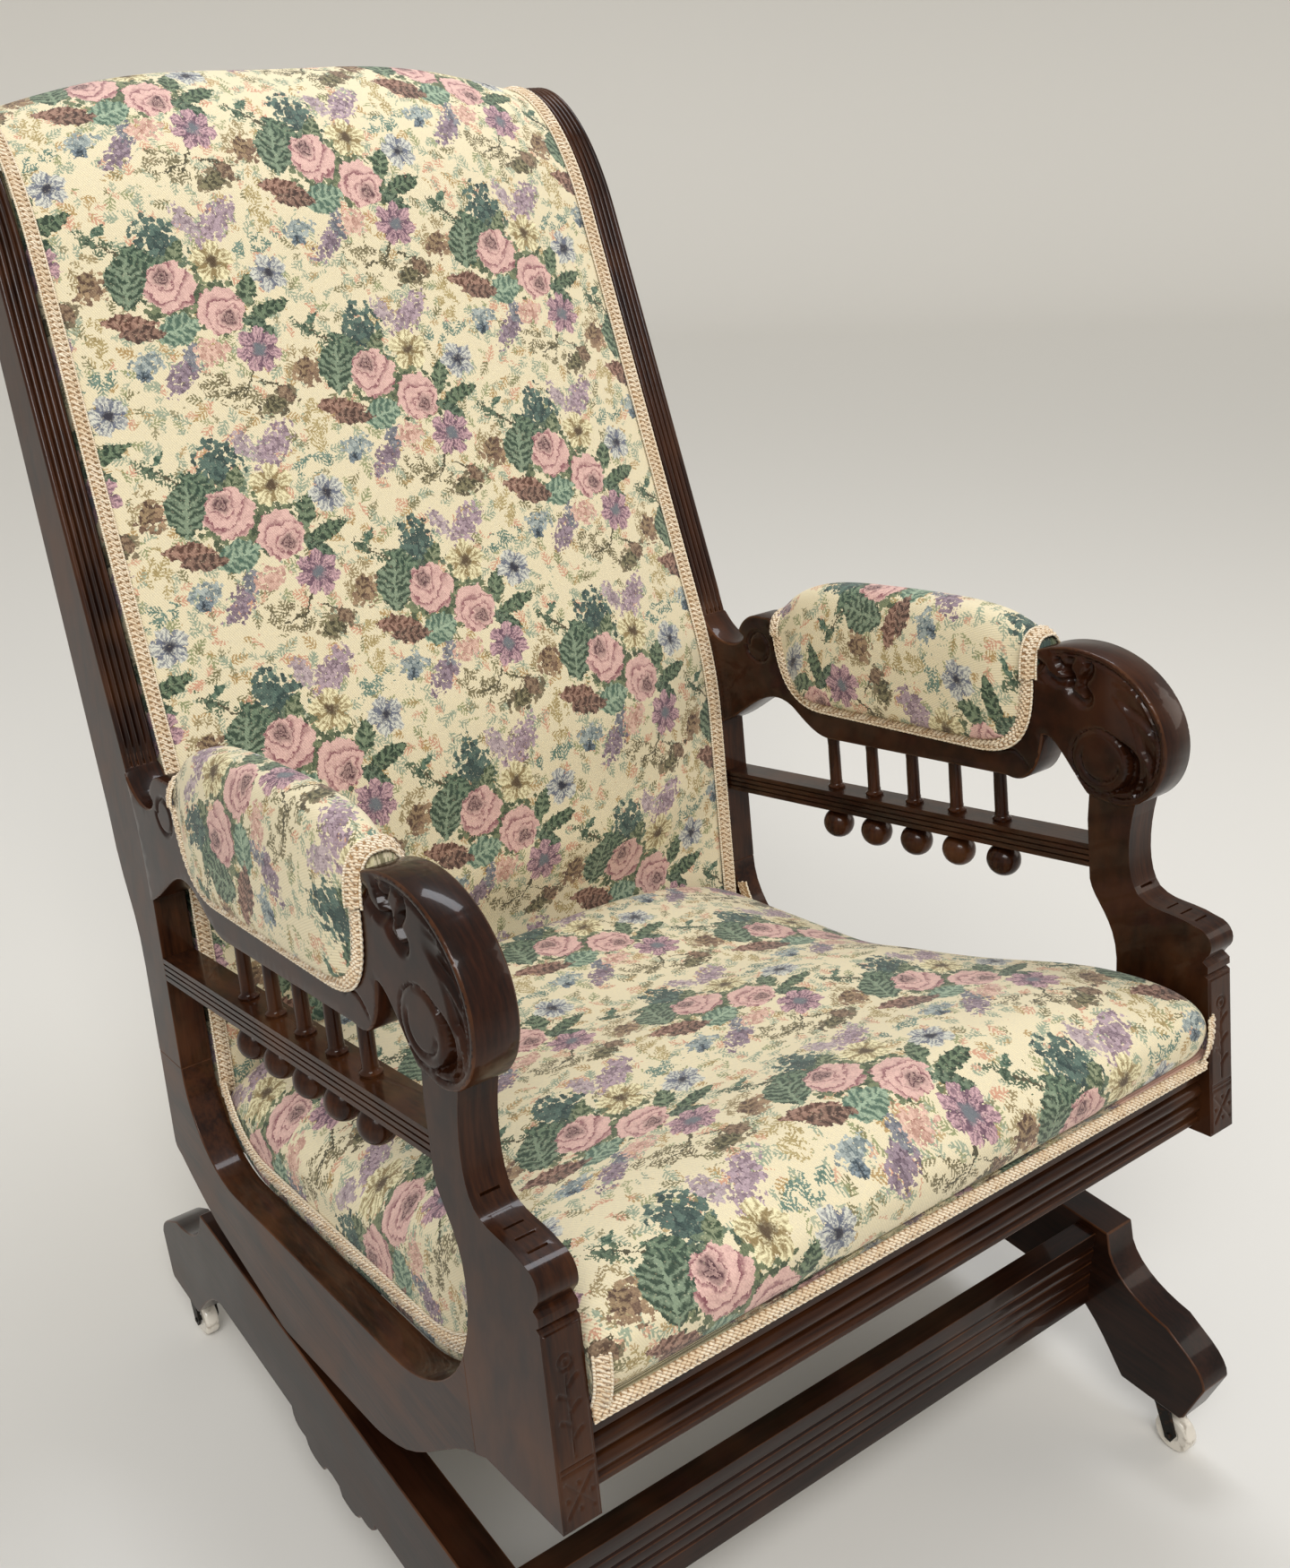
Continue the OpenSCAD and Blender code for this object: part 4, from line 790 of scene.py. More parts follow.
def row_of(name, piece, count, first, step, tip, finish):
    """A row of copies of a piece, as one mesh."""
    tree = piece_tree("turnings_in_row", (("Count", "Int"), ("First", "Vector"), ("Step", "Vector"),
                                          ("Tip", "Vector"), ("Piece", "Object")), turnings_in_row)
    made = run_tree(add_mesh(name, [(0, 0, 0)], []), tree, finish, {
        "Count": count, "First": tuple(first), "Step": tuple(step), "Tip": tip, "Piece": piece})
    made.data.set_sharp_from_angle(angle=math.radians(TURNED_EDGE))
    return made


# ---- carved boards

def line_distance(pts, line):
    """How far each point is from a line, and where along it, counted in the line's points."""
    far, along = np.full(len(pts), 1e9), np.zeros(len(pts))
    for k, (s, e) in enumerate(zip(line, line[1:])):
        d = e - s
        t = np.clip((pts - s) @ d / max(d @ d, 1e-9), 0, 1)
        gap = np.linalg.norm(pts - (s + t[:, None] * d), axis=1)
        along = np.where(gap < far, k + t, along)
        far = np.minimum(far, gap)
    return far, along


def rim_distance(pts, outline):
    """How far each point is from a closed outline."""
    return line_distance(pts, np.vstack([outline, outline[:1]]))[0]


def spaced_inside(outline, fine, coarse, near):
    """Points inside an outline: close together where near() is true, wide apart elsewhere."""
    low, high = outline.min(0), outline.max(0)

    def hexes(step):
        """Points a step apart, every other row moved by half a step."""
        ys = np.arange(low[0], high[0], step)
        zs = np.arange(low[1], high[1], step * 0.866)
        y, z = np.meshgrid(ys, zs)
        y = y + (np.arange(len(zs))[:, None] % 2) * step / 2
        return np.stack([y.ravel(), z.ravel()], 1)

    a, b = hexes(fine), hexes(coarse)
    pts = np.concatenate([a[near(a)], b[~near(b)]])
    inside = np.zeros(len(pts), bool)
    for s, e in zip(outline, np.roll(outline, -1, 0)):
        cross = (s[1] > pts[:, 1]) != (e[1] > pts[:, 1])
        with np.errstate(divide="ignore", invalid="ignore"):
            x = (e[0] - s[0]) * (pts[:, 1] - s[1]) / (e[1] - s[1]) + s[0]
        inside ^= cross & (pts[:, 0] < x)
    return pts[inside & (rim_distance(pts, outline) > fine * 0.7)]


def carved_board(name, outline, x_in, x_out, side, depth, near, mats, fine=1.6, coarse=9.0, ease=1.6):
    """A board of a side outline whose two faces are cut to depth(points), with eased rims.

    fine and coarse are the steps between points in mm, where near() is true and elsewhere.
    """
    outline = resample(np.vstack([outline, outline[:1]]), 2.2)[:-1]
    n = len(outline)
    tangent = np.roll(outline, -1, 0) - np.roll(outline, 1, 0)
    tangent /= np.linalg.norm(tangent, axis=1)[:, None]
    inward = left_of(tangent)
    area = 0.5 * np.sum(outline[:, 0] * np.roll(outline[:, 1], -1) - np.roll(outline[:, 0], -1) * outline[:, 1])
    if area < 0:
        inward = -inward
    rings = [outline + inward * k for k in (0.0, 0.5 * ease, ease)]
    pts = np.concatenate(rings + [spaced_inside(outline, fine, coarse, near)])
    edges = [(i, (i + 1) % n) for i in range(n)]
    verts, _, faces, _, _, _ = delaunay_2d_cdt([Vector(p) for p in pts], edges, [], 1, 1e-4)
    flat = np.array([tuple(v) for v in verts])
    rim = rim_distance(flat, outline)
    cut = depth(flat) + ease - np.sqrt(np.maximum(ease ** 2 - (ease - np.minimum(rim, ease)) ** 2, 0))
    points = np.concatenate([np.c_[x_in + cut, flat], np.c_[x_out - cut, flat]])
    if side < 0:
        points[:, 0] *= -1
    count = len(flat)
    faces = [tuple(f) for f in faces]
    all_faces = [f[::-1] for f in faces] + [tuple(i + count for i in f) for f in faces]
    # The edge between the two faces: every side of a face that no other face shares
    used = dict.fromkeys((a, b) for f in faces for a, b in zip(f, f[1:] + f[:1]))
    all_faces += [(a, b, b + count, a + count) for a, b in used if (b, a) not in used]
    slots = [0] * len(all_faces)
    for k, f in enumerate(faces):
        if rim[list(f)].max() <= ease * 1.05:
            slots[k] = slots[k + len(faces)] = 1
    return outward(add_mesh(name, tipped(points), all_faces, mats, ALL_SMOOTH, slots=slots), sharp=48)


def arm_outline():
    """The side outline of an arm: scroll, pad seat, rear volute, shoulder, underside, notch and neck."""
    shoulder, _ = post_face()
    rear, front = np.array([OPEN_REAR - 144, ARM_UNDER - 3]), np.array([OPEN_REAR - 334, ARM_UNDER + 3])
    notch = SCROLL + [52, 10]
    neck = SCROLL + [14, 2 - SCROLL_R]
    vr = 28.0
    return join(
        scroll_at(np.linspace(0, SCROLL_END, 90)),
        [[PAD_FRONT - 2, scroll_at(SCROLL_END)[1]], [PAD_FRONT, PAD_SEAT], [PAD_REAR, PAD_SEAT],
         [PAD_REAR + 2, VOLUTE[1] + vr]],
        arc(VOLUTE, vr, 96, 24), [VOLUTE + [19, 6]],
        bez(VOLUTE + [19, 6], VOLUTE + [30, -8], LEAN_START - [16, 26], LEAN_START),
        shoulder[::-1], [[OPEN_REAR, SHOULDER - 9]],
        bez([OPEN_REAR, SHOULDER - 9], [OPEN_REAR - 40, ARM_UNDER + 2], [OPEN_REAR - 66, ARM_UNDER + 38],
            [OPEN_REAR - 100, ARM_UNDER + 19]),
        bez([OPEN_REAR - 100, ARM_UNDER + 19], [OPEN_REAR - 112, ARM_UNDER + 10], rear + [16, -1], rear),
        [front], bez(front, front - [16, 5], notch + [5, -34], notch),
        bez(notch, notch + [-11, 3], neck + [12, 12], neck))


def bell(x, width):
    """1 at 0, falling away on both sides."""
    return np.exp(-(x / width) ** 2)


def window(x, low, high, soft):
    """1 between low and high, with soft ends."""
    return smooth((x - low) / soft) * smooth((high - x) / soft)


def arm_carving(p):
    """Depth in mm of the carving: a polished rim, leaf strokes along it, two leaf tongues and the eye.

    d and a place a point about the scroll's middle, in mm and in degrees from its foot. t is how far in from the
    spiral rim it is.
    """
    q = p - SCROLL
    d = np.hypot(q[:, 0], q[:, 1])
    a = np.degrees(np.arctan2(-q[:, 0], -q[:, 1])) % 360
    t = SCROLL_R * np.exp(SCROLL_GROW * a) - d
    cut = 2.2 * bell(t - 5.6, 1.0) * window(a, 8, 214, 10)
    # Leaf strokes: each starts with a crisp wall and runs out slowly, swept back along the rim
    broad = 5 + 14 * smooth((a - 40) / 90)
    across = (t - 6.2) / broad
    stroke = (a / 40.0 - 1.15 * across + 0.3) % 1
    band = window(across, 0.0, 1.0, 0.25) * window(a, 34, 172, 20)
    cut += (0.6 + 4.4 * (1 - stroke) * smooth(stroke / 0.22)) * band
    # Two curling tongues that hang from the rim near the pad, each in a deep hollow
    for line, wide in ((((-168, 577), (-172, 570), (-178, 565), (-185, 564)), 6.5),
                       (((-196, 574), (-192, 566), (-193, 557), (-199, 551)), 6.5)):
        far, along = line_distance(p, np.array(line, float))
        half = wide * (1 - 0.24 * along)
        leaf = smooth((half + 1 - far) / 2.6)
        cut += 5.5 * smooth((half + 8 - far) / 6) * (1 - leaf) * smooth((t - 6) / 4)
    # The eye: a flat disc in a hollow that is widest and deepest towards the front
    e = p - SCROLL - [3, -1]
    r = np.hypot(e[:, 0], e[:, 1])
    wide = 1.4 + 10.5 * window(a, 12, 150, 55)
    cut += (1.8 + 6.0 * window(a, 5, 165, 45)) * smooth((r - 22.6) / 1.5) * smooth((23.5 + wide - r) / (0.8 * wide))
    cut += 2.0 * bell(r - 15.5, 1.1) * (1 - window(a, 60, 270, 30))
    cut -= 0.9 * smooth((22.4 - r) / 2.0)
    # A leaf under the pad, and the small eye at the rear
    s = (p[:, 0] + 150) / 34
    curve = 486 + 10 * np.sin(np.clip(s, 0, 1) * 3.1) + 6 * s
    cut += 1.5 * bell(p[:, 1] - curve, 1.1) * window(s, 0, 1, 0.2)
    r = np.hypot(*(p - VOLUTE).T)
    va = np.degrees(np.arctan2(p[:, 1] - VOLUTE[1], p[:, 0] - VOLUTE[0])) % 360
    cut += 2.2 * bell(r - 11.5 - va / 90, 1.3) * window(r, 4, 22, 3)
    return cut


def carved_near(p):
    """Where the carving is, which needs fine points."""
    q = p - SCROLL
    near = np.hypot(q[:, 0], q[:, 1]) < 84
    tail = (np.hypot(*(p - VOLUTE).T) < 24) | ((np.abs(p[:, 0] + 133) < 24) & (p[:, 1] < 512))
    return (near & (q[:, 0] < 46)) | tail


# ---- cushions

def back_path():
    """The centre line of the back's front edge in fine steps: points, outward normals and place along the lean."""
    shoulder, curl = post_face()
    low = np.stack([np.full(13, OPEN_REAR), np.linspace(278, SHOULDER, 13)], 1)
    p = resample(join(low, shoulder, LEAN_START + np.linspace(0, 400, 20)[:, None] * LEAN, curl,
                      arc(ROLL, ROLL_R, 90, -50, 12)), 8.0)
    s = run_length(p)
    s -= np.interp(LEAN_START[1], p[: len(p) // 2, 1], s[: len(p) // 2])
    return p, left_of(directions(p)), s


def back_skin():
    """Points and cloth places of the back cushion, lofted across the chair along the back's path."""
    p, out, s = back_path()
    rows, n, half = len(p), 49, 260.0
    even = np.linspace(-1, 1, n)
    e = 0.35 * np.sin(even * math.pi / 2) + 0.65 * even
    # The crown starts above the seat and ends at the roll, where the pad thins to the crest rail
    crown = BACK_CROWN * (0.06 + 0.94 * smooth((p[:, 1] - 332) / 80)) * (
        0.1 + 0.9 * smooth(np.minimum(1, (s[-1] - s) / 60)))
    on_crest = ROLL_R - CREST_R - 0.3
    thinning = smooth((p[:, 1] - STRAIGHT_END[1] + 10) / 94)
    thick = np.where(p[:, 0] > CURL_TOP[0], on_crest, BACK_PAD + (on_crest - BACK_PAD) * thinning)
    rise = 1 - np.abs(e) ** 2.6
    rise = rise + 0.10 * np.sin(np.pi * (1 - np.abs(e))) ** 2
    front = p[:, None] + (crown[:, None] * rise[None] * 0.95)[..., None] * out[:, None]
    grid = np.empty((rows, n + 4, 3))
    uv = np.empty((rows, n + 4, 2))
    grid[:, 2:-2, 0] = half * e
    grid[:, 2:-2, 1:] = front
    uv[:, :, 1] = s[:, None] - 67   # the middle of a bunch on the photographed back
    uv[:, 2:-2, 0] = half * e
    # Two columns of points down each side of the pad, close against the post
    for k, (x, depth) in enumerate(((269.0, 1.0), (271.8, 0.45))):
        back = p - (thick * depth)[:, None] * out
        for col, sign in ((k, -1), (n + 3 - k, 1)):
            grid[:, col, 0] = sign * x
            grid[:, col, 1:] = back
            uv[:, col, 0] = sign * (half + thick * depth)
    return grid, uv


def skin_object(name, grid, uv, finish):
    """A lofted skin, closed round each row and at both ends, and smoothed."""
    rows, cols, _ = grid.shape
    pts = tipped(grid.reshape(-1, 3))
    verts = pts.tolist()
    ends = []
    for row in (0, rows - 1):
        verts.append(pts[row * cols:(row + 1) * cols].mean(0).tolist())
        ends.append(uv[row].mean(0))
    flat_uv = np.vstack([uv.reshape(-1, 2), ends]) / 1000
    obj = outward(add_mesh(name, verts, closed_faces(rows, cols), (finish,), ALL_SMOOTH, uv=flat_uv), weld=False)
    obj.data.shade_smooth()
    sub = obj.modifiers.new("smoothing", "SUBSURF")
    sub.levels = sub.render_levels = 2
    sub.boundary_smooth = "PRESERVE_CORNERS"
    return plain(obj)


SEAT_HALF, SEAT_END = 270.0, 207.0


def seat_edge(y):
    """Height of the seat's side edges, which fall towards the rear."""
    return 291 + 61 * (1 - smooth((y - BLOCK_Y - 38) / 290))


def seat_skin():
    """Points and cloth places of the seat: a side profile carried across, higher where it is sprung."""
    front = join(bez([-289, 304], [-296, 309], [-300, 320], [-301, 332], 8),
                 bez([-301, 332], [-301, 344], [-291, 351], [-268, 352], 10))
    ys = np.linspace(-268, SEAT_END, 48)
    top = np.stack([ys, seat_edge(ys)], 1)
    profile = join(front, top)
    y, z = profile[:, 0], profile[:, 1]
    s = run_length(profile)
    bunch_y = -58.0   # the middle of a bunch on the photographed seat
    v = s - np.interp(bunch_y, y[len(front):], s[len(front):])
    n, side_rows = 45, 8
    even = np.linspace(-1, 1, n)
    e = 0.4 * np.sin(even * math.pi / 2) + 0.6 * even
    grid = np.empty((len(profile), n + 2 * side_rows, 3))
    uv = np.empty((len(profile), n + 2 * side_rows, 2))
    # Over the springs the crown is higher and flatter than at the front edge
    sprung = smooth((y - BLOCK_Y - 123) / 130)
    crown = (22 + 25 * sprung) * smooth((y + 304) / 60)
    power = 2.2 + 1.7 * sprung
    # The cloth comes down behind the braid, 9 mm past the opening, and to the top of the rail in front
    round_front = np.minimum(y - OPEN_FRONT - FRONT_R, 0)
    round_front = OPEN_Z + FRONT_R - np.sqrt(np.maximum((FRONT_R + 9) ** 2 - round_front ** 2, 0))
    round_rear = np.maximum(y - OPEN_REAR + REAR_R, 0)
    round_rear = OPEN_Z + REAR_R - np.sqrt(np.maximum((REAR_R + 9) ** 2 - round_rear ** 2, 0))
    low = np.clip(np.maximum(round_front, round_rear), OPEN_Z - 9, 300)
    floor = np.where(y < -284, 303.8, np.where(y < -262, 290.6, low))
    # The cloth drifts to one side and turns a little towards the front, as the photographed one does
    drift = 36 - 45 * smooth(-y / 300)
    skew = 0.08 * smooth((-120 - y) / 130)
    for j, f in enumerate(e):
        x = SEAT_HALF * f
        over = np.clip((abs(x) - (SEAT_HALF - 16)) / 16, 0, 1)
        drop = 12 * (1 - math.sqrt(1 - over ** 2 * 0.96))
        share = smooth((z - floor) / 34)
        grid[:, side_rows + j, 0] = x
        grid[:, side_rows + j, 1] = y + 7 * over ** 2 * smooth((-250 - y) / 40) - 2.5 * (
            1 - abs(f) ** 2) * smooth((-285 - y) / 20)
        grid[:, side_rows + j, 2] = z + (crown * (1 - abs(f) ** power) - drop) * share
        uv[:, side_rows + j, 0] = x - drift
        uv[:, side_rows + j, 1] = v + skew * x
    # Down each side to the floor, and in the last row under the cushion, so that smoothing leaves the corner
    for m in range(side_rows):
        t, lap = min(1.0, (m + 1) / (side_rows - 1)), 16.0 * (m == side_rows - 1)
        for col, edge, sign in ((side_rows - 1 - m, side_rows, -1), (side_rows + n + m, side_rows + n - 1, 1)):
            grid[:, col] = grid[:, edge]
            height = grid[:, edge, 2] - floor
            swell = 1.6 * math.sin(math.pi * min(t, 0.75) / 1.5)
            grid[:, col, 0] = sign * (SEAT_HALF - 0.3 + swell - lap)
            grid[:, col, 2] = floor + np.maximum(height, 0.3) * (1 - t)
            uv[:, col, 0] = sign * (SEAT_HALF + np.maximum(height, 0.3) * t) - drift
            uv[:, col, 1] = v + skew * sign * SEAT_HALF
    return grid, uv


def gimp_path_pad():
    """The line along which an arm pad is tacked to its board, seen from the side."""
    foot = PAD_UNDER + GIMP_W / 2
    return join(bez([PAD_FRONT + 8, PAD_SEAT - 8], [PAD_FRONT + 9, PAD_UNDER + 22], [PAD_FRONT + 22, foot],
                    [PAD_FRONT + 60, foot]),
                bez([PAD_REAR - 58, foot], [PAD_REAR - 24, foot], [PAD_REAR - 12, PAD_UNDER + 26],
                    [PAD_REAR - 8, PAD_SEAT - 8]))


def pad_skin(side):
    """Points and cloth places of an arm pad, drawn tight over the board and tacked along the braid."""
    line = gimp_path_pad()
    ys = np.linspace(PAD_FRONT + 0.6, PAD_REAR - 0.6, 46)
    t = (ys - ys[0]) / (ys[-1] - ys[0])
    end = np.abs(2 * t - 1) ** 5
    low = np.interp(ys, line[:, 0], line[:, 1], left=PAD_SEAT - 4, right=PAD_SEAT - 4) + 2.0
    low = np.minimum(low, PAD_SEAT - 2)
    high = PAD_TOP - np.where(t > 0.5, 34, 20) * end - 4 * (1 - np.sin(np.pi * t))
    half = 17.6 + 11.0 * (1 - end) * np.clip(np.sin(np.pi * t) * 2.6, 0.35, 1)
    a = np.radians(np.linspace(0, 180, 25))
    # Where the cloth's bunches lie on the photographed pads
    shift_x, shift_y = (-18, 13) if side > 0 else (42, -2)
    grid = np.empty((len(ys), len(a) + 4, 3))
    uv = np.empty((len(ys), len(a) + 4, 2))
    for i, y in enumerate(ys):
        tall = high[i] - low[i]
        w = half[i] * (1 - 0.16 * (1 - np.sin(a)) ** 2) * np.sign(np.cos(a)) * np.abs(np.cos(a)) ** 0.62
        z = low[i] + tall * np.sin(a) ** 0.85
        ring = np.stack([side * FRAME_X + w, np.full(len(a), y), z], 1)
        around = run_length(ring)
        grid[i, :len(a)] = ring
        uv[i, :len(a), 0] = around[len(a) // 2] - around + shift_x
        uv[i, :, 1] = y + shift_y
        # The underside lies 0.3 mm off the board's edge and sides
        under, beside = PAD_SEAT + 0.3, ARM_T / 2 + 0.3
        foot = min(low[i], under)
        for k, (x, height) in enumerate(((-beside, foot), (-beside, under), (beside, under), (beside, foot))):
            grid[i, len(a) + k] = (side * FRAME_X + x, y, height)
            uv[i, len(a) + k, 0] = uv[i, len(a) - 1 if k < 2 else 0, 0]
    return grid, uv


# ---- braid

SCROLL_CORD, EDGE_CORD = 0.0013, 0.0010   # radius in metres


def braid_band(name, lines, normals, nodes, pitch, width=GIMP_W):
    """Gimp braid along lines of level points: a thin ground, two scrolling cords and a cord on each edge.

    A scroll is pitch long. Its cords swing across the braid and back along it, so that they loop, and rise over
    each other where they cross.
    """
    m = materials()
    loops, edges, ground, faces = [], [], [], []
    for line, normal in zip(lines, normals):
        p = resample(np.hstack([line, normal]), 0.9)
        p, up = p[:, :3], p[:, 3:]
        up = up / np.linalg.norm(up, axis=1)[:, None]
        along = directions(p)
        side = np.cross(up, along)
        side /= np.linalg.norm(side, axis=1)[:, None]
        s = run_length(p)
        phase = 2 * math.pi * max(1, round(s[-1] / pitch)) * s / s[-1]
        for shift in (0.0, math.pi):
            a = phase + shift
            loops.append(tipped(p + along * (2.1 * np.sin(2 * a))[:, None] + side * (
                width * 0.30 * np.sin(a))[:, None] + up * (1.3 + 0.55 * np.cos(a + 0.6))[:, None]))
        for k in (-1, 1):
            edges.append(tipped(p + side * (k * width * 0.44) + up * (0.9 + 0.25 * np.sin(phase * 2))[:, None]))
        # The ground: a flat closed strip with four lines of points along it
        first, thin = len(ground), p[::4]
        for across, high in ((-0.46, 0.1), (-0.46, 0.8), (0.46, 0.8), (0.46, 0.1)):
            ground.extend((thin + side[::4] * (across * width) + up[::4] * high).tolist())
        count = len(thin)
        strip = [first + k * count for k in range(4)]
        for a, b in zip(strip, strip[1:] + strip[:1]):
            faces.extend((a + i, b + i, b + i + 1, a + i + 1) for i in range(count - 1))
        faces += [strip, [c + count - 1 for c in strip][::-1]]
    for obj in (cords(name + "_scrolls", loops, SCROLL_CORD, m["braid"], 5),
                cords(name + "_edges", edges, EDGE_CORD, m["braid_edge"], 5),
                outward(add_mesh(name + "_ground", tipped(np.array(ground)), faces, (m["braid_flat"],), 60))):
        finish_piece(obj, ROCKING, nodes)


# ---- operators

ROCKING, BASE = "rocking_frame", "base"
SIDES = (("left", -1), ("right", 1))
CORNERS = ("front_left", "front_right", "rear_left", "rear_right")


class ChairSettings(bpy.types.PropertyGroup):
    """Sizes and colours that a user would change."""
    wood_bevel: FloatProperty(name="Eased edge", description="Rounding of the wooden edges", default=0.0012,
                              min=0.0004, max=0.003, unit="LENGTH")
    reed_count: IntProperty(name="Reeds", description="Reeds up the face of each back post", default=5, min=3, max=7)
    braid_pitch: FloatProperty(name="Braid pitch", description="Length of one scroll of the braid in millimetres",
                               default=9.5, min=6, max=12)
    floor_colour: FloatVectorProperty(name="Floor", description="Colour of the floor", subtype="COLOR", size=4,
                                      default=linear("#d6d4cf"), min=0, max=1)


class ChairOperator:
    """What every operator of the chair shares"""
    bl_options = {"REGISTER", "UNDO"}


# The photograph's camera, solved from points of the frame: place in metres, turn in degrees, lens in mm and shift
CAMERA_AT, CAMERA_TURN = (-0.6687, -0.9519, 1.0373), (33.05, 19.772, -1.558)
CAMERA_LENS, CAMERA_SHIFT = 36.61, (0.0997, -0.0994)
# Lamps: name, place, target, size in metres, power in watts, colour. The window draws the long lights on the rolled
# top and the arms, the lamp overhead those on the scrolls.
LAMPS = (("window", (-1.3, -1.7, 2.5), (0.0, 0.0, 0.5), (1.5, 0.6), 27, "#f6f9ff"),
         ("overhead", (0.7, 0.5, 2.6), (0.0, -0.1, 0.6), (1.3, 0.5), 22, "#f4f8ff"),
         ("fill", (2.3, -1.2, 1.3), (0.0, 0.0, 0.5), (1.2, 1.2), 9, "#fff4e8"))
# The floor: half its width, where it starts to curve up behind the chair, the curve's radius, the wall's top in
# metres, and the wall's turn
FLOOR_HALF, FLOOR_BACK, COVE_R, WALL_TOP, WALL_TURN = 9.0, 5.0, 1.5, 5.0, math.radians(33)
# Daylight: strength, softness and the way it shines
SUN, SUN_ANGLE, SUN_AIM = 1.15, math.radians(35), (0.55, 0.75, -1.0)


def add_lamp(name, data, colour, aim, place=(0, 0, 0)):
    """A lamp that shines along aim."""
    data.color = linear(colour)[:3]
    lamp = in_scene(name, data)
    lamp.location = place
    lamp.rotation_euler = aim.to_track_quat("-Z", "Y").to_euler()


def add_floor(colour):
    """The floor, turned to face the camera and a hair below the wheels, and the wall that it curves up into."""
    m, _, shader = new_material("pale_floor")
    shader.inputs["Base Color"].default_value = colour
    shader.inputs["Roughness"].default_value = 0.75
    cove = [(FLOOR_BACK + COVE_R * math.sin(a), COVE_R - COVE_R * math.cos(a))
            for a in np.linspace(0.1, math.pi / 2, 12)]
    curve = [(-FLOOR_HALF, 0.0), (FLOOR_BACK, 0.0)] + cove + [(FLOOR_BACK + COVE_R, WALL_TOP)]
    c, s = math.cos(WALL_TURN), math.sin(WALL_TURN)
    verts = [(x * c + y * s, y * c - x * s, z - 0.0004) for y, z in curve for x in (-FLOOR_HALF, FLOOR_HALF)]
    faces = [(2 * i, 2 * i + 1, 2 * i + 3, 2 * i + 2) for i in range(len(curve) - 1)]
    add_mesh("floor_and_backdrop", verts, faces, (m,), 60)


def add_surroundings(scene):
    """A pale sky, which lights the chair half as brightly as the camera sees it."""
    world = scene.world or bpy.data.worlds.new("studio")
    scene.world = world
    world.use_nodes = True
    net = Net(world.node_tree)
    sky = world.node_tree.nodes["Background"].inputs
    seen = net.add("ShaderNodeLightPath").outputs["Is Camera Ray"]
    net.join(sky["Color"], "#fbfaf7")
    net.join(sky["Strength"], net.add("MULTIPLY_ADD", seen, 0.5, 0.5))


def add_camera(scene):
    """The photograph's camera, turned by its yaw, pitch and roll."""
    yaw, pitch, roll = (math.radians(v) for v in CAMERA_TURN)
    look = Vector((math.sin(yaw) * math.cos(pitch), math.cos(yaw) * math.cos(pitch), -math.sin(pitch)))
    level = Vector((math.cos(yaw), -math.sin(yaw), 0))
    up = level.cross(look)
    right, top = math.cos(roll) * level + math.sin(roll) * up, math.cos(roll) * up - math.sin(roll) * level
    data = bpy.data.cameras.new("photograph_view")
    data.sensor_fit, data.sensor_width, data.clip_start = "AUTO", 36.0, 0.02
    data.lens = CAMERA_LENS
    data.shift_x, data.shift_y = CAMERA_SHIFT
    scene.camera = in_scene("photograph_view", data)
    scene.camera.matrix_world = Matrix.Translation(CAMERA_AT) @ Matrix((right, top, -look)).transposed().to_4x4()


class CHAIR_OT_stage(ChairOperator, bpy.types.Operator):
    """Add the floor, the backdrop, soft studio lights and the camera"""
    bl_idname = "chair.stage"
    bl_label = "Stage"

    def execute(self, context):
        scene = context.scene
        scene.view_settings.view_transform = "Standard"
        add_floor(scene.chair.floor_colour)
        add_surroundings(scene)
        sun = bpy.data.lights.new("daylight", "SUN")
        sun.energy, sun.angle = SUN, SUN_ANGLE
        add_lamp("daylight", sun, "#fffaf2", Vector(SUN_AIM))
        for name, place, target, size, power, tint in LAMPS:
            data = bpy.data.lights.new(name, "AREA")
            data.shape = "RECTANGLE"
            data.size, data.size_y = size
            data.energy = power
            add_lamp(name, data, tint, Vector(target) - Vector(place), place)
        add_camera(scene)
        return {"FINISHED"}


MOULDING, IRONWORK = 0.0005, 0.0003   # eased edges in metres


class CHAIR_OT_side_frames(ChairOperator, bpy.types.Operator):
    """Dress the rockers, posts and gallery rails"""
    bl_idname = "chair.side_frames"
    bl_label = "Side frames"

    def execute(self, context):
        m = materials()
        bevel = context.scene.chair.wood_bevel
        for side, _ in SIDES:
            for node, name, finish, ease in (("rocker_", "rocker_board_", "run", bevel),
                                             ("front_post_", "front_post_board_", "side", bevel),
                                             ("back_post_", "back_post_board_", "side", 0.0006),
                                             ("gallery_rail_", "gallery_moulding_", "run", MOULDING)):
                dressed(node + side, name + side, ROCKING, m[finish], m["worn"], ease)
        return {"FINISHED"}


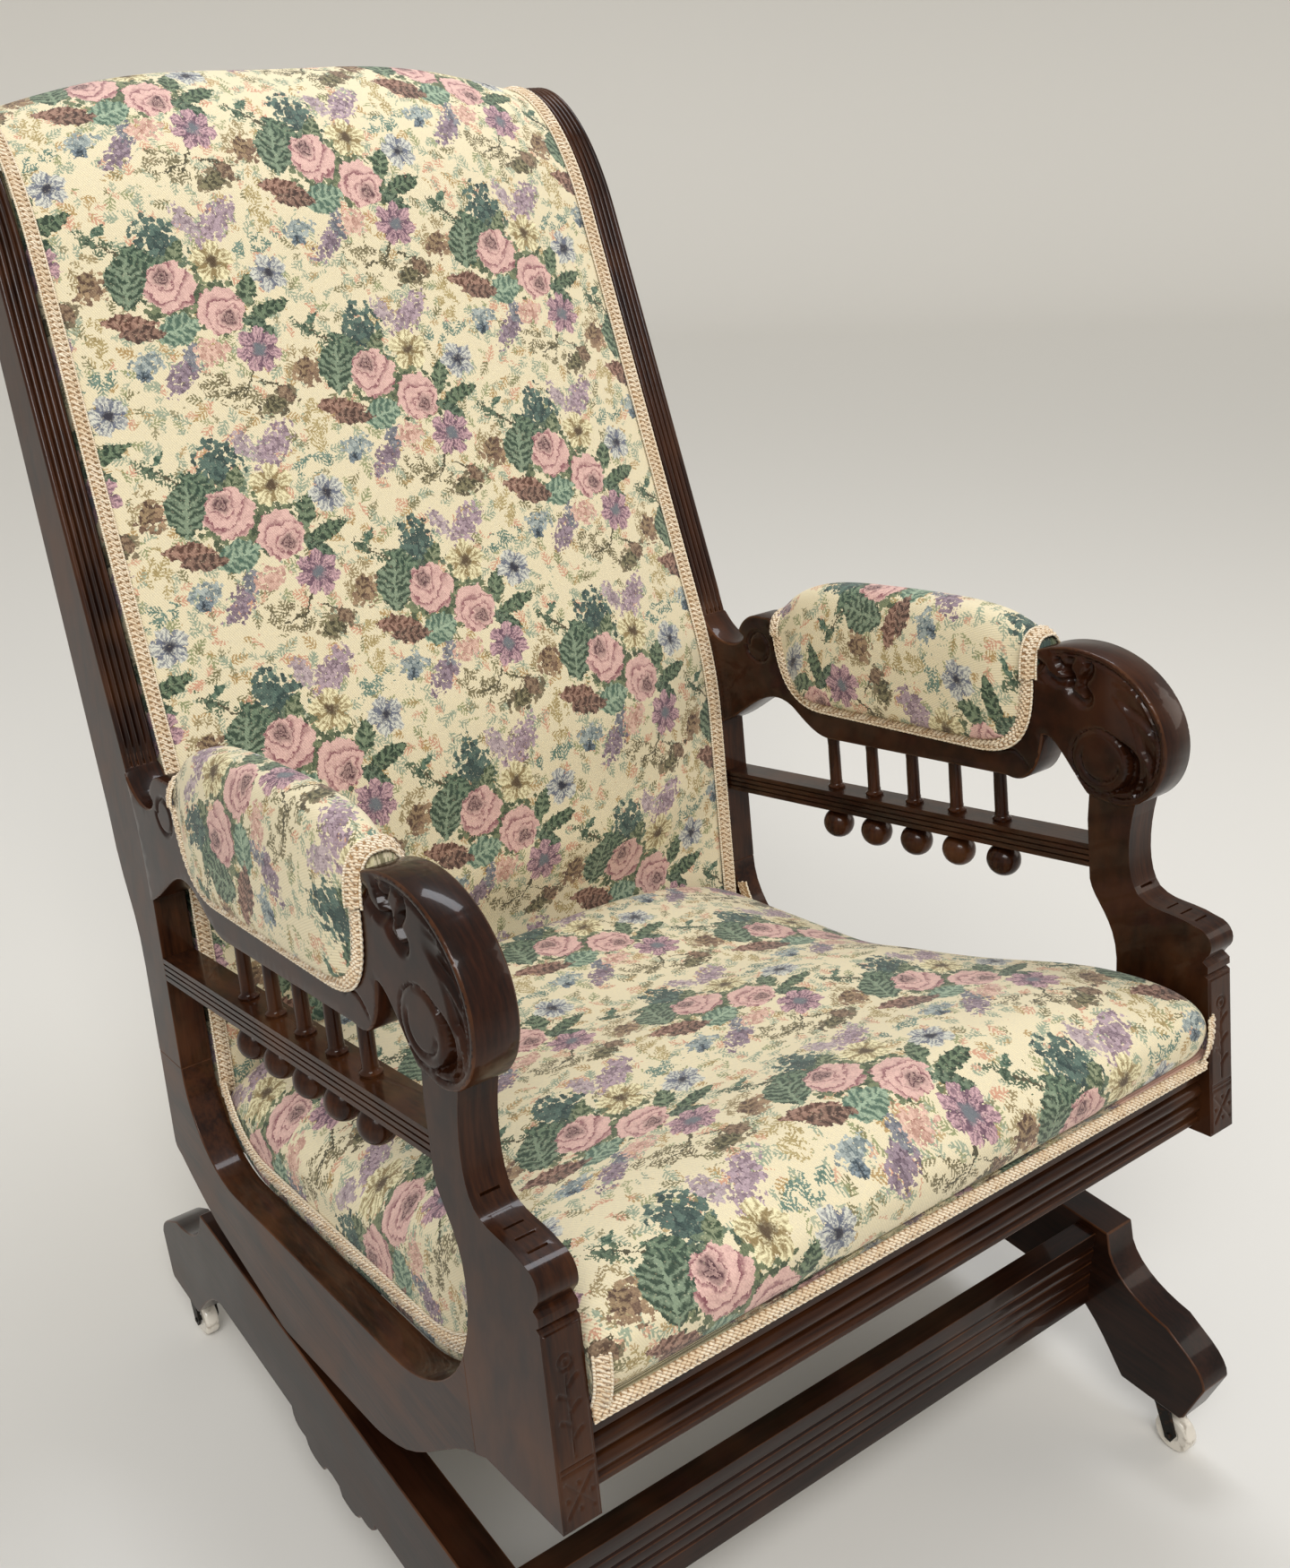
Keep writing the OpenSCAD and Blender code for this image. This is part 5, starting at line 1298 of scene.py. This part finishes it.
class CHAIR_OT_reeding(ChairOperator, bpy.types.Operator):
    """Lay rounded reeds up the faces of the back posts"""
    bl_idname = "chair.reeding"
    bl_label = "Reeded posts"

    def execute(self, context):
        m = materials()
        count = context.scene.chair.reed_count
        _, curl = post_face()
        face = resample(join(LEAN_START + np.linspace(4, 400, 12)[:, None] * LEAN, curl,
                             arc(ROLL, ROLL_R, 90, -20, 10)), 7.0)
        out = left_of(directions(face))
        s = run_length(face)
        # Eight points across each round reed, which stands 1.8 mm proud of the post and fades at both ends
        x = np.linspace(INNER + 0.2, OUTER - 0.2, count * 8 + 1)
        across = (x - INNER) * count / (OUTER - INNER) % 1
        reed = np.sqrt(np.maximum(0, 1 - (2 * across - 1) ** 2))
        fade = (smooth(s / 18) * smooth((s[-1] - s) / 10))[:, None]
        high = -1.2 + 3.0 * reed * fade + 0.6 * (1 - fade)
        rows, cols = len(face), len(x)
        faces = grid_faces(rows, 2 * cols, closed=True)
        faces.append(list(range(2 * cols))[::-1])
        faces.append([(rows - 1) * 2 * cols + i for i in range(2 * cols)])
        for side, sign in SIDES:
            top, under = np.empty((2, rows, cols, 3))
            top[..., 0] = under[..., 0] = sign * x
            top[..., 1:] = face[:, None] + out[:, None] * high[..., None]
            under[..., 1:] = (face - 4.0 * out)[:, None]
            both = np.concatenate([top, under[:, ::-1]], 1)
            obj = add_mesh("reeding_" + side, tipped(both.reshape(-1, 3)), faces, (m["side"],), ALL_SMOOTH)
            finish_piece(outward(obj, sharp=60), ROCKING)
        return {"FINISHED"}


class CHAIR_OT_arms(ChairOperator, bpy.types.Operator):
    """Carve the scrolled arms"""
    bl_idname = "chair.arms"
    bl_label = "Carved arms"

    def execute(self, context):
        m = materials()
        outline = arm_outline()
        for side, sign in SIDES:
            obj = carved_board("carved_arm_" + side, outline, FRAME_X - ARM_T / 2, FRAME_X + ARM_T / 2, sign,
                               arm_carving, carved_near, (m["carved"], m["worn"]))
            finish_piece(obj, ROCKING, ["arm_" + side])
        return {"FINISHED"}


SPINDLE_STEP = 45.5
# Turned profiles: radius and height in mm, from the peg up the spindle, and from the peg down to the ball
SPINDLE = [(3.5, -6), (3.5, 0), (7.4, 0.2), (7.6, 1.6), (6.2, 2.6), (5.4, 3.6), (5.6, 5.0), (5.2, 6.2), (5.2, 24),
           (5.0, 34), (5.4, 40), (5.6, 46)]
DROP_NECK = [(3.5, 6), (3.5, 0.2), (5.2, 0.0), (5.4, -1.0), (4.4, -1.6)]


class CHAIR_OT_turnings(ChairOperator, bpy.types.Operator):
    """Turn the spindles and ball drops of the galleries"""
    bl_idname = "chair.turnings"
    bl_label = "Turnings"

    def execute(self, context):
        m = materials()
        # Where the row stands on the gallery rail, which rises by 3.5 degrees, and under the arm
        mid = (SCROLL[0] + 16 + OPEN_REAR) / 2 - 22
        ys = mid + (np.arange(5) - 2) * SPINDLE_STEP
        rail = 413 + (OPEN_REAR - ys) * math.tan(math.radians(3.5))
        under = ARM_UNDER - 3 + (OPEN_REAR - 144 - ys) * 6 / 190
        tall = (under - rail).mean() - 0.5
        spindle = [(r, z * (tall / 41 if z > 0 else 1)) for r, z in SPINDLE] + [(5.4, tall + 5)]
        ball = [(13.4 * math.sin(a), -14.6 + 13.4 * math.cos(a)) for a in np.radians(np.linspace(18, 176, 22))]
        for side, sign in SIDES:
            for name, low, shape, node in (("spindle_row_", rail + 0.3, spindle, "spindles_"),
                                           ("ball_row_", rail - 18 - 0.2, DROP_NECK + ball, "ball_drops_")):
                piece = turning("one_" + name + side, [(r / 1000, z / 1000) for r, z in shape])
                first = tipped([sign * FRAME_X, ys[0], low[0]])
                step = tipped([sign * FRAME_X, ys[1], low[1]]) - first
                obj = row_of(name + side, piece, 5, first, step, (-TILT, 0.0, 0.0), m["turned"])
                bpy.data.objects.remove(piece)
                finish_piece(obj, ROCKING, [node + side])
        return {"FINISHED"}


# Cuts of the ornament in mm from the middle of the block's foot: points, half width and depth
ORNAMENT = (
    # A stem that ends in a ringed flower, with five leaves
    [([(0, 42), (0.6, 60), (-0.4, 80), (0, 92)], 0.75, 1.0),
     ([(4.6 * math.cos(a), 99 + 4.6 * math.sin(a)) for a in np.linspace(0, 2 * math.pi, 20)], 0.75, 1.0),
     ([(0, 99), (0.2, 99)], 1.6, 1.2)]
    + [([(0, z), (way * 3.4, z + 3.4), (way * 6.4, z + 5.0)], 1.1, 1.1)
       for z, way in ((52, 1), (60, -1), (68, 1), (76, -1), (84, 1))]
    # Two lines across, and below them a cross with a dot in each quarter
    + [([(-12, z), (12, z)], 0.75, 1.0) for z in (37, 33.5)]
    + [([(-8.5, z), (8.5, 36 - z)], 0.9, 1.0) for z in (8, 28)]
    + [([(x, z), (x + 0.1, z)], 1.2, 1.2) for x, z in ((0, 26), (0, 10), (-8, 18), (8, 18))])


class CHAIR_OT_front(ChairOperator, bpy.types.Operator):
    """Dress the front rail and cut the ornament on the front blocks"""
    bl_idname = "chair.front"
    bl_label = "Front rail and blocks"

    def execute(self, context):
        m = materials()
        dressed("front_seat_rail", "front_rail_moulding", ROCKING, m["rail"], m["worn"], MOULDING)
        tall, half, rows, cols = BLOCK_TOP - BLOCK_FOOT - 3, (OUTER - INNER) / 2 - 1, 150, 34
        x, z = np.meshgrid(np.linspace(-half, half, cols), np.linspace(0, tall, rows))
        places = np.stack([x.ravel(), z.ravel()], 1)
        cut = np.zeros(x.shape)
        for points, width, deep in ORNAMENT:
            far, _ = line_distance(places, np.array(points, float))
            cut = np.maximum(cut, deep * bell(far, width).reshape(x.shape))
        # A thin panel with eased edges on the face of each block, cut to the ornament
        edge = np.minimum(np.minimum(z, tall - z), np.minimum(x + half, half - x))
        out = 1.3 * np.minimum(edge / 0.8, 1) - cut * (edge > 0.9)
        ring = ([i for i in range(cols)] + [j * cols + cols - 1 for j in range(1, rows)]
                + [(rows - 1) * cols + i for i in range(cols - 2, -1, -1)]
                + [j * cols for j in range(rows - 2, 0, -1)])
        count, k = rows * cols, len(ring)
        faces = grid_faces(rows, cols)
        faces += [(ring[i], ring[(i + 1) % k], count + (i + 1) % k, count + i) for i in range(k)]
        faces.append([count + i for i in range(k)])
        for side, sign in SIDES:
            verts = np.stack([sign * FRAME_X + x, BLOCK_Y + 0.3 - out, BLOCK_FOOT + 1.5 + z], -1).reshape(-1, 3)
            verts = np.vstack([verts, verts[ring] + [0, 1.0, 0]])
            obj = add_mesh("cut_ornament_" + side, tipped(verts), faces, (m["side"],), ALL_SMOOTH)
            finish_piece(outward(obj, sharp=50), ROCKING)
        return {"FINISHED"}


class CHAIR_OT_hidden_frame(ChairOperator, bpy.types.Operator):
    """Finish the hidden rails, webbing, lining and outside back"""
    bl_idname = "chair.hidden_frame"
    bl_label = "Hidden frame"

    def execute(self, context):
        m = materials()
        for node in ("rear_seat_rail", "side_seat_rails", "corner_blocks", "lower_back_rail"):
            dressed(node, node + "_planed", ROCKING, m["beech"], bevel=0.001)
        dressed("crest_rail", "crest_rail_turned", ROCKING, m["rail"], bevel=0.001)
        for node, name, slot, finish, angle in (
                ("seat_webbing", "seat_straps", "jute_webbing", "jute", 28),
                ("back_webbing", "back_straps", "jute_webbing", "jute", 28),
                ("dust_cover", "dust_cover_cloth", "black_lining", "lining", 28),
                ("outside_back", "outside_back_cloth", "plain_backing_cloth", "backing", 60)):
            dressed(node, name, ROCKING, m[finish], bevel=0, angle=angle)
        return {"FINISHED"}


class CHAIR_OT_platform(ChairOperator, bpy.types.Operator):
    """Dress the base: rails, stretchers, brackets and screws"""
    bl_idname = "chair.platform"
    bl_label = "Platform"

    def execute(self, context):
        m = materials()
        bevel = context.scene.chair.wood_bevel
        # The base rails and stretchers take the stain darkened as painted shade
        for side, _ in SIDES:
            dressed("base_rail_" + side, "platform_rail_" + side, BASE, m["base"], m["worn"], bevel)
        for end in ("front", "rear"):
            dressed(end + "_stretcher", end + "_stretcher_reeded", BASE, m["stretcher"], m["worn"], MOULDING)
        for node, name, body, ease in (("castor_plates", "castor_sockets", BASE, IRONWORK),
                                       ("base_brackets", "spring_brackets_low", BASE, MOULDING),
                                       ("rocker_brackets", "spring_brackets_high", ROCKING, MOULDING),
                                       ("base_bracket_screws", "screws_low", BASE, IRONWORK),
                                       ("rocker_bracket_screws", "screws_high", ROCKING, IRONWORK)):
            dressed(node, name, body, m["iron"], bevel=ease)
        return {"FINISHED"}


class CHAIR_OT_castors(ChairOperator, bpy.types.Operator):
    """Dress the castors"""
    bl_idname = "chair.castors"
    bl_label = "Castors"

    def execute(self, context):
        m = materials()
        for c in CORNERS:
            dressed("castor_fork_" + c, "castor_frame_" + c, "castor_" + c, m["iron"], bevel=0.0004)
            dressed("castor_axle_" + c, "castor_pin_" + c, "castor_" + c, m["iron"], bevel=IRONWORK)
            dressed("castor_wheel_" + c, "china_wheel_" + c, "wheel_" + c, m["china"],
                    bevel=0.0006, segments=3)
        return {"FINISHED"}


# Coils in mm: turns, radius, wire radius, height, lowest point, place across the chair, half the gap of a pair
TURNS, COIL_R, WIRE_R, COIL_TALL, COIL_FOOT, COIL_X, COIL_GAP = 6, 14.0, 2.2, 72.0, 120.3, 251.8, 21


class CHAIR_OT_springs(ChairOperator, bpy.types.Operator):
    """Wind the coil springs between the base and the rockers"""
    bl_idname = "chair.springs"
    bl_label = "Rocker springs"

    def execute(self, context):
        m = materials()
        t = np.linspace(0, 1, TURNS * 28 + 1)
        a = 2 * math.pi * TURNS * t
        for side, sign in SIDES:
            paths = [upright(np.stack([sign * COIL_X + COIL_R * np.cos(a), PIVOT[0] + k + COIL_R * np.sin(a),
                                       COIL_FOOT + WIRE_R + (COIL_TALL - 2 * WIRE_R) * t], 1))
                     for k in (-COIL_GAP, COIL_GAP)]
            obj = cords("coil_springs_" + side, paths, WIRE_R / 1000, m["spring"], 10)
            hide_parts("rocker_springs_" + side)
            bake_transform(obj)
        return {"FINISHED"}


class CHAIR_OT_cushions(ChairOperator, bpy.types.Operator):
    """Upholster the seat and the back"""
    bl_idname = "chair.cushions"
    bl_label = "Seat and back"

    def execute(self, context):
        m = materials()
        for name, skin, node in (("seat_upholstery", seat_skin, "seat_cushion"),
                                 ("back_upholstery", back_skin, "back_cushion")):
            grid, uv = skin()
            obj = skin_object(name, grid, uv, m["tapestry"])
            finish_piece(obj, ROCKING, [node])
        return {"FINISHED"}


class CHAIR_OT_arm_pads(ChairOperator, bpy.types.Operator):
    """Upholster the arm pads"""
    bl_idname = "chair.arm_pads"
    bl_label = "Arm pads"

    def execute(self, context):
        m = materials()
        for side, sign in SIDES:
            grid, uv = pad_skin(sign)
            obj = skin_object("arm_pad_cover_" + side, grid, uv, m["tapestry"])
            finish_piece(obj, ROCKING, ["arm_pad_" + side])
        return {"FINISHED"}


class CHAIR_OT_braid(ChairOperator, bpy.types.Operator):
    """Lay the gimp braid along every tacked edge"""
    bl_idname = "chair.braid"
    bl_label = "Gimp braid"

    def execute(self, context):
        pitch = context.scene.chair.braid_pitch

        def flat(line, x, face):
            """A side line at x, and a normal along X at each of its points."""
            return np.c_[np.full(len(line), float(x)), line], np.tile([float(face), 0, 0], (len(line), 1))

        # Along the front edge of the seat, and up both its ends
        x = np.linspace(-INNER + 2, INNER - 2, 60)
        bands = [(np.stack([x, np.full(len(x), -290.6), np.full(len(x), RAIL_HIGH + 7.2)], 1),
                  np.tile([0, -1.0, 0.12], (len(x), 1)))]
        end = bez([-290.6, 300], [-297, 309], [-299, 322], [-298.6, 336], 20)
        for _, sign in SIDES:
            bands.append((np.c_[np.full(len(end), sign * (INNER - 6.6)), end],
                          np.tile([0.35 * sign, -1.0, 0.0], (len(end), 1))))
        braid_band("seat_front_braid", *zip(*bands), ["seat_front_gimp"], pitch, width=11.0)
        # Inside each side frame, along the curve of the opening
        inset = 3.3 + GIMP_W / 2
        curve = join(arc((OPEN_REAR - REAR_R, OPEN_Z + REAR_R), REAR_R - inset, -14, -90),
                     arc((OPEN_FRONT + FRONT_R, OPEN_Z + FRONT_R), FRONT_R - inset, 270, 192))
        bands = [flat(curve, sign * (INNER - 2.6), sign) for _, sign in SIDES]
        braid_band("seat_side_braid", *zip(*bands), ["seat_side_gimps"], pitch)
        # Up both edges of the back and over the roll
        p, out, _ = back_path()
        keep = (p[:, 1] > 284) | (p[:, 0] > 300)
        keep[-3:] = False
        p, out = p[keep], out[keep]
        bands = [(np.c_[np.full(len(p), sign * (INNER - 8.8)), p + 0.8 * out],
                  np.c_[np.full(len(p), -0.12 * sign), out]) for _, sign in SIDES]
        braid_band("back_braid", *zip(*bands), ["back_gimps"], pitch)
        # Round each arm pad: along the board, and over the pad at both ends
        a = np.radians(np.linspace(2, 178, 30))
        for side, sign in SIDES:
            bands = [flat(gimp_path_pad(), sign * FRAME_X + face * (ARM_T / 2 + 0.5), face) for face in (-1, 1)]
            for y, top, lean in ((PAD_FRONT + 4.5, PAD_TOP - 20, -0.5), (PAD_REAR - 6, PAD_TOP - 33, 0.25)):
                arch = np.stack([sign * FRAME_X + 17.8 * np.cos(a) * np.abs(np.cos(a)) ** -0.3,
                                 y + 0 * a, PAD_SEAT - 10 + (top - PAD_SEAT + 10) * np.sin(a) ** 0.8], 1)
                bands.append((arch, np.stack([np.cos(a), np.full(len(a), lean), np.sin(a)], 1)))
            braid_band("arm_pad_braid_" + side, *zip(*bands), ["arm_gimp_" + side], pitch)
        return {"FINISHED"}


class CHAIR_PT_panel(bpy.types.Panel):
    """Lists the pieces of the chair"""
    bl_label = "Platform rocking chair"
    bl_idname = "CHAIR_PT_panel"
    bl_space_type = "VIEW_3D"
    bl_region_type = "UI"
    bl_category = "Rocker"

    def draw(self, context):
        layout = self.layout
        for name in ("wood_bevel", "reed_count", "braid_pitch", "floor_colour"):
            layout.prop(context.scene.chair, name)
        for op in OPERATORS:
            layout.operator(op.bl_idname)


OPERATORS = (CHAIR_OT_stage, CHAIR_OT_platform, CHAIR_OT_castors, CHAIR_OT_springs, CHAIR_OT_side_frames,
             CHAIR_OT_reeding, CHAIR_OT_arms, CHAIR_OT_turnings, CHAIR_OT_front, CHAIR_OT_hidden_frame,
             CHAIR_OT_cushions, CHAIR_OT_arm_pads, CHAIR_OT_braid)


def register():
    """Make the settings, the operators and the panel known to Blender."""
    bpy.utils.register_class(ChairSettings)
    bpy.types.Scene.chair = PointerProperty(type=ChairSettings)
    for cls in OPERATORS + (CHAIR_PT_panel,):
        bpy.utils.register_class(cls)


def unregister():
    """Take them out again."""
    for cls in reversed(OPERATORS + (CHAIR_PT_panel,)):
        bpy.utils.unregister_class(cls)
    del bpy.types.Scene.chair
    bpy.utils.unregister_class(ChairSettings)


def main():
    """Build every piece with its operator."""
    register()
    for op in OPERATORS:
        group, name = op.bl_idname.split(".")
        getattr(getattr(bpy.ops, group), name)()


if __name__ == "__main__":
    main()
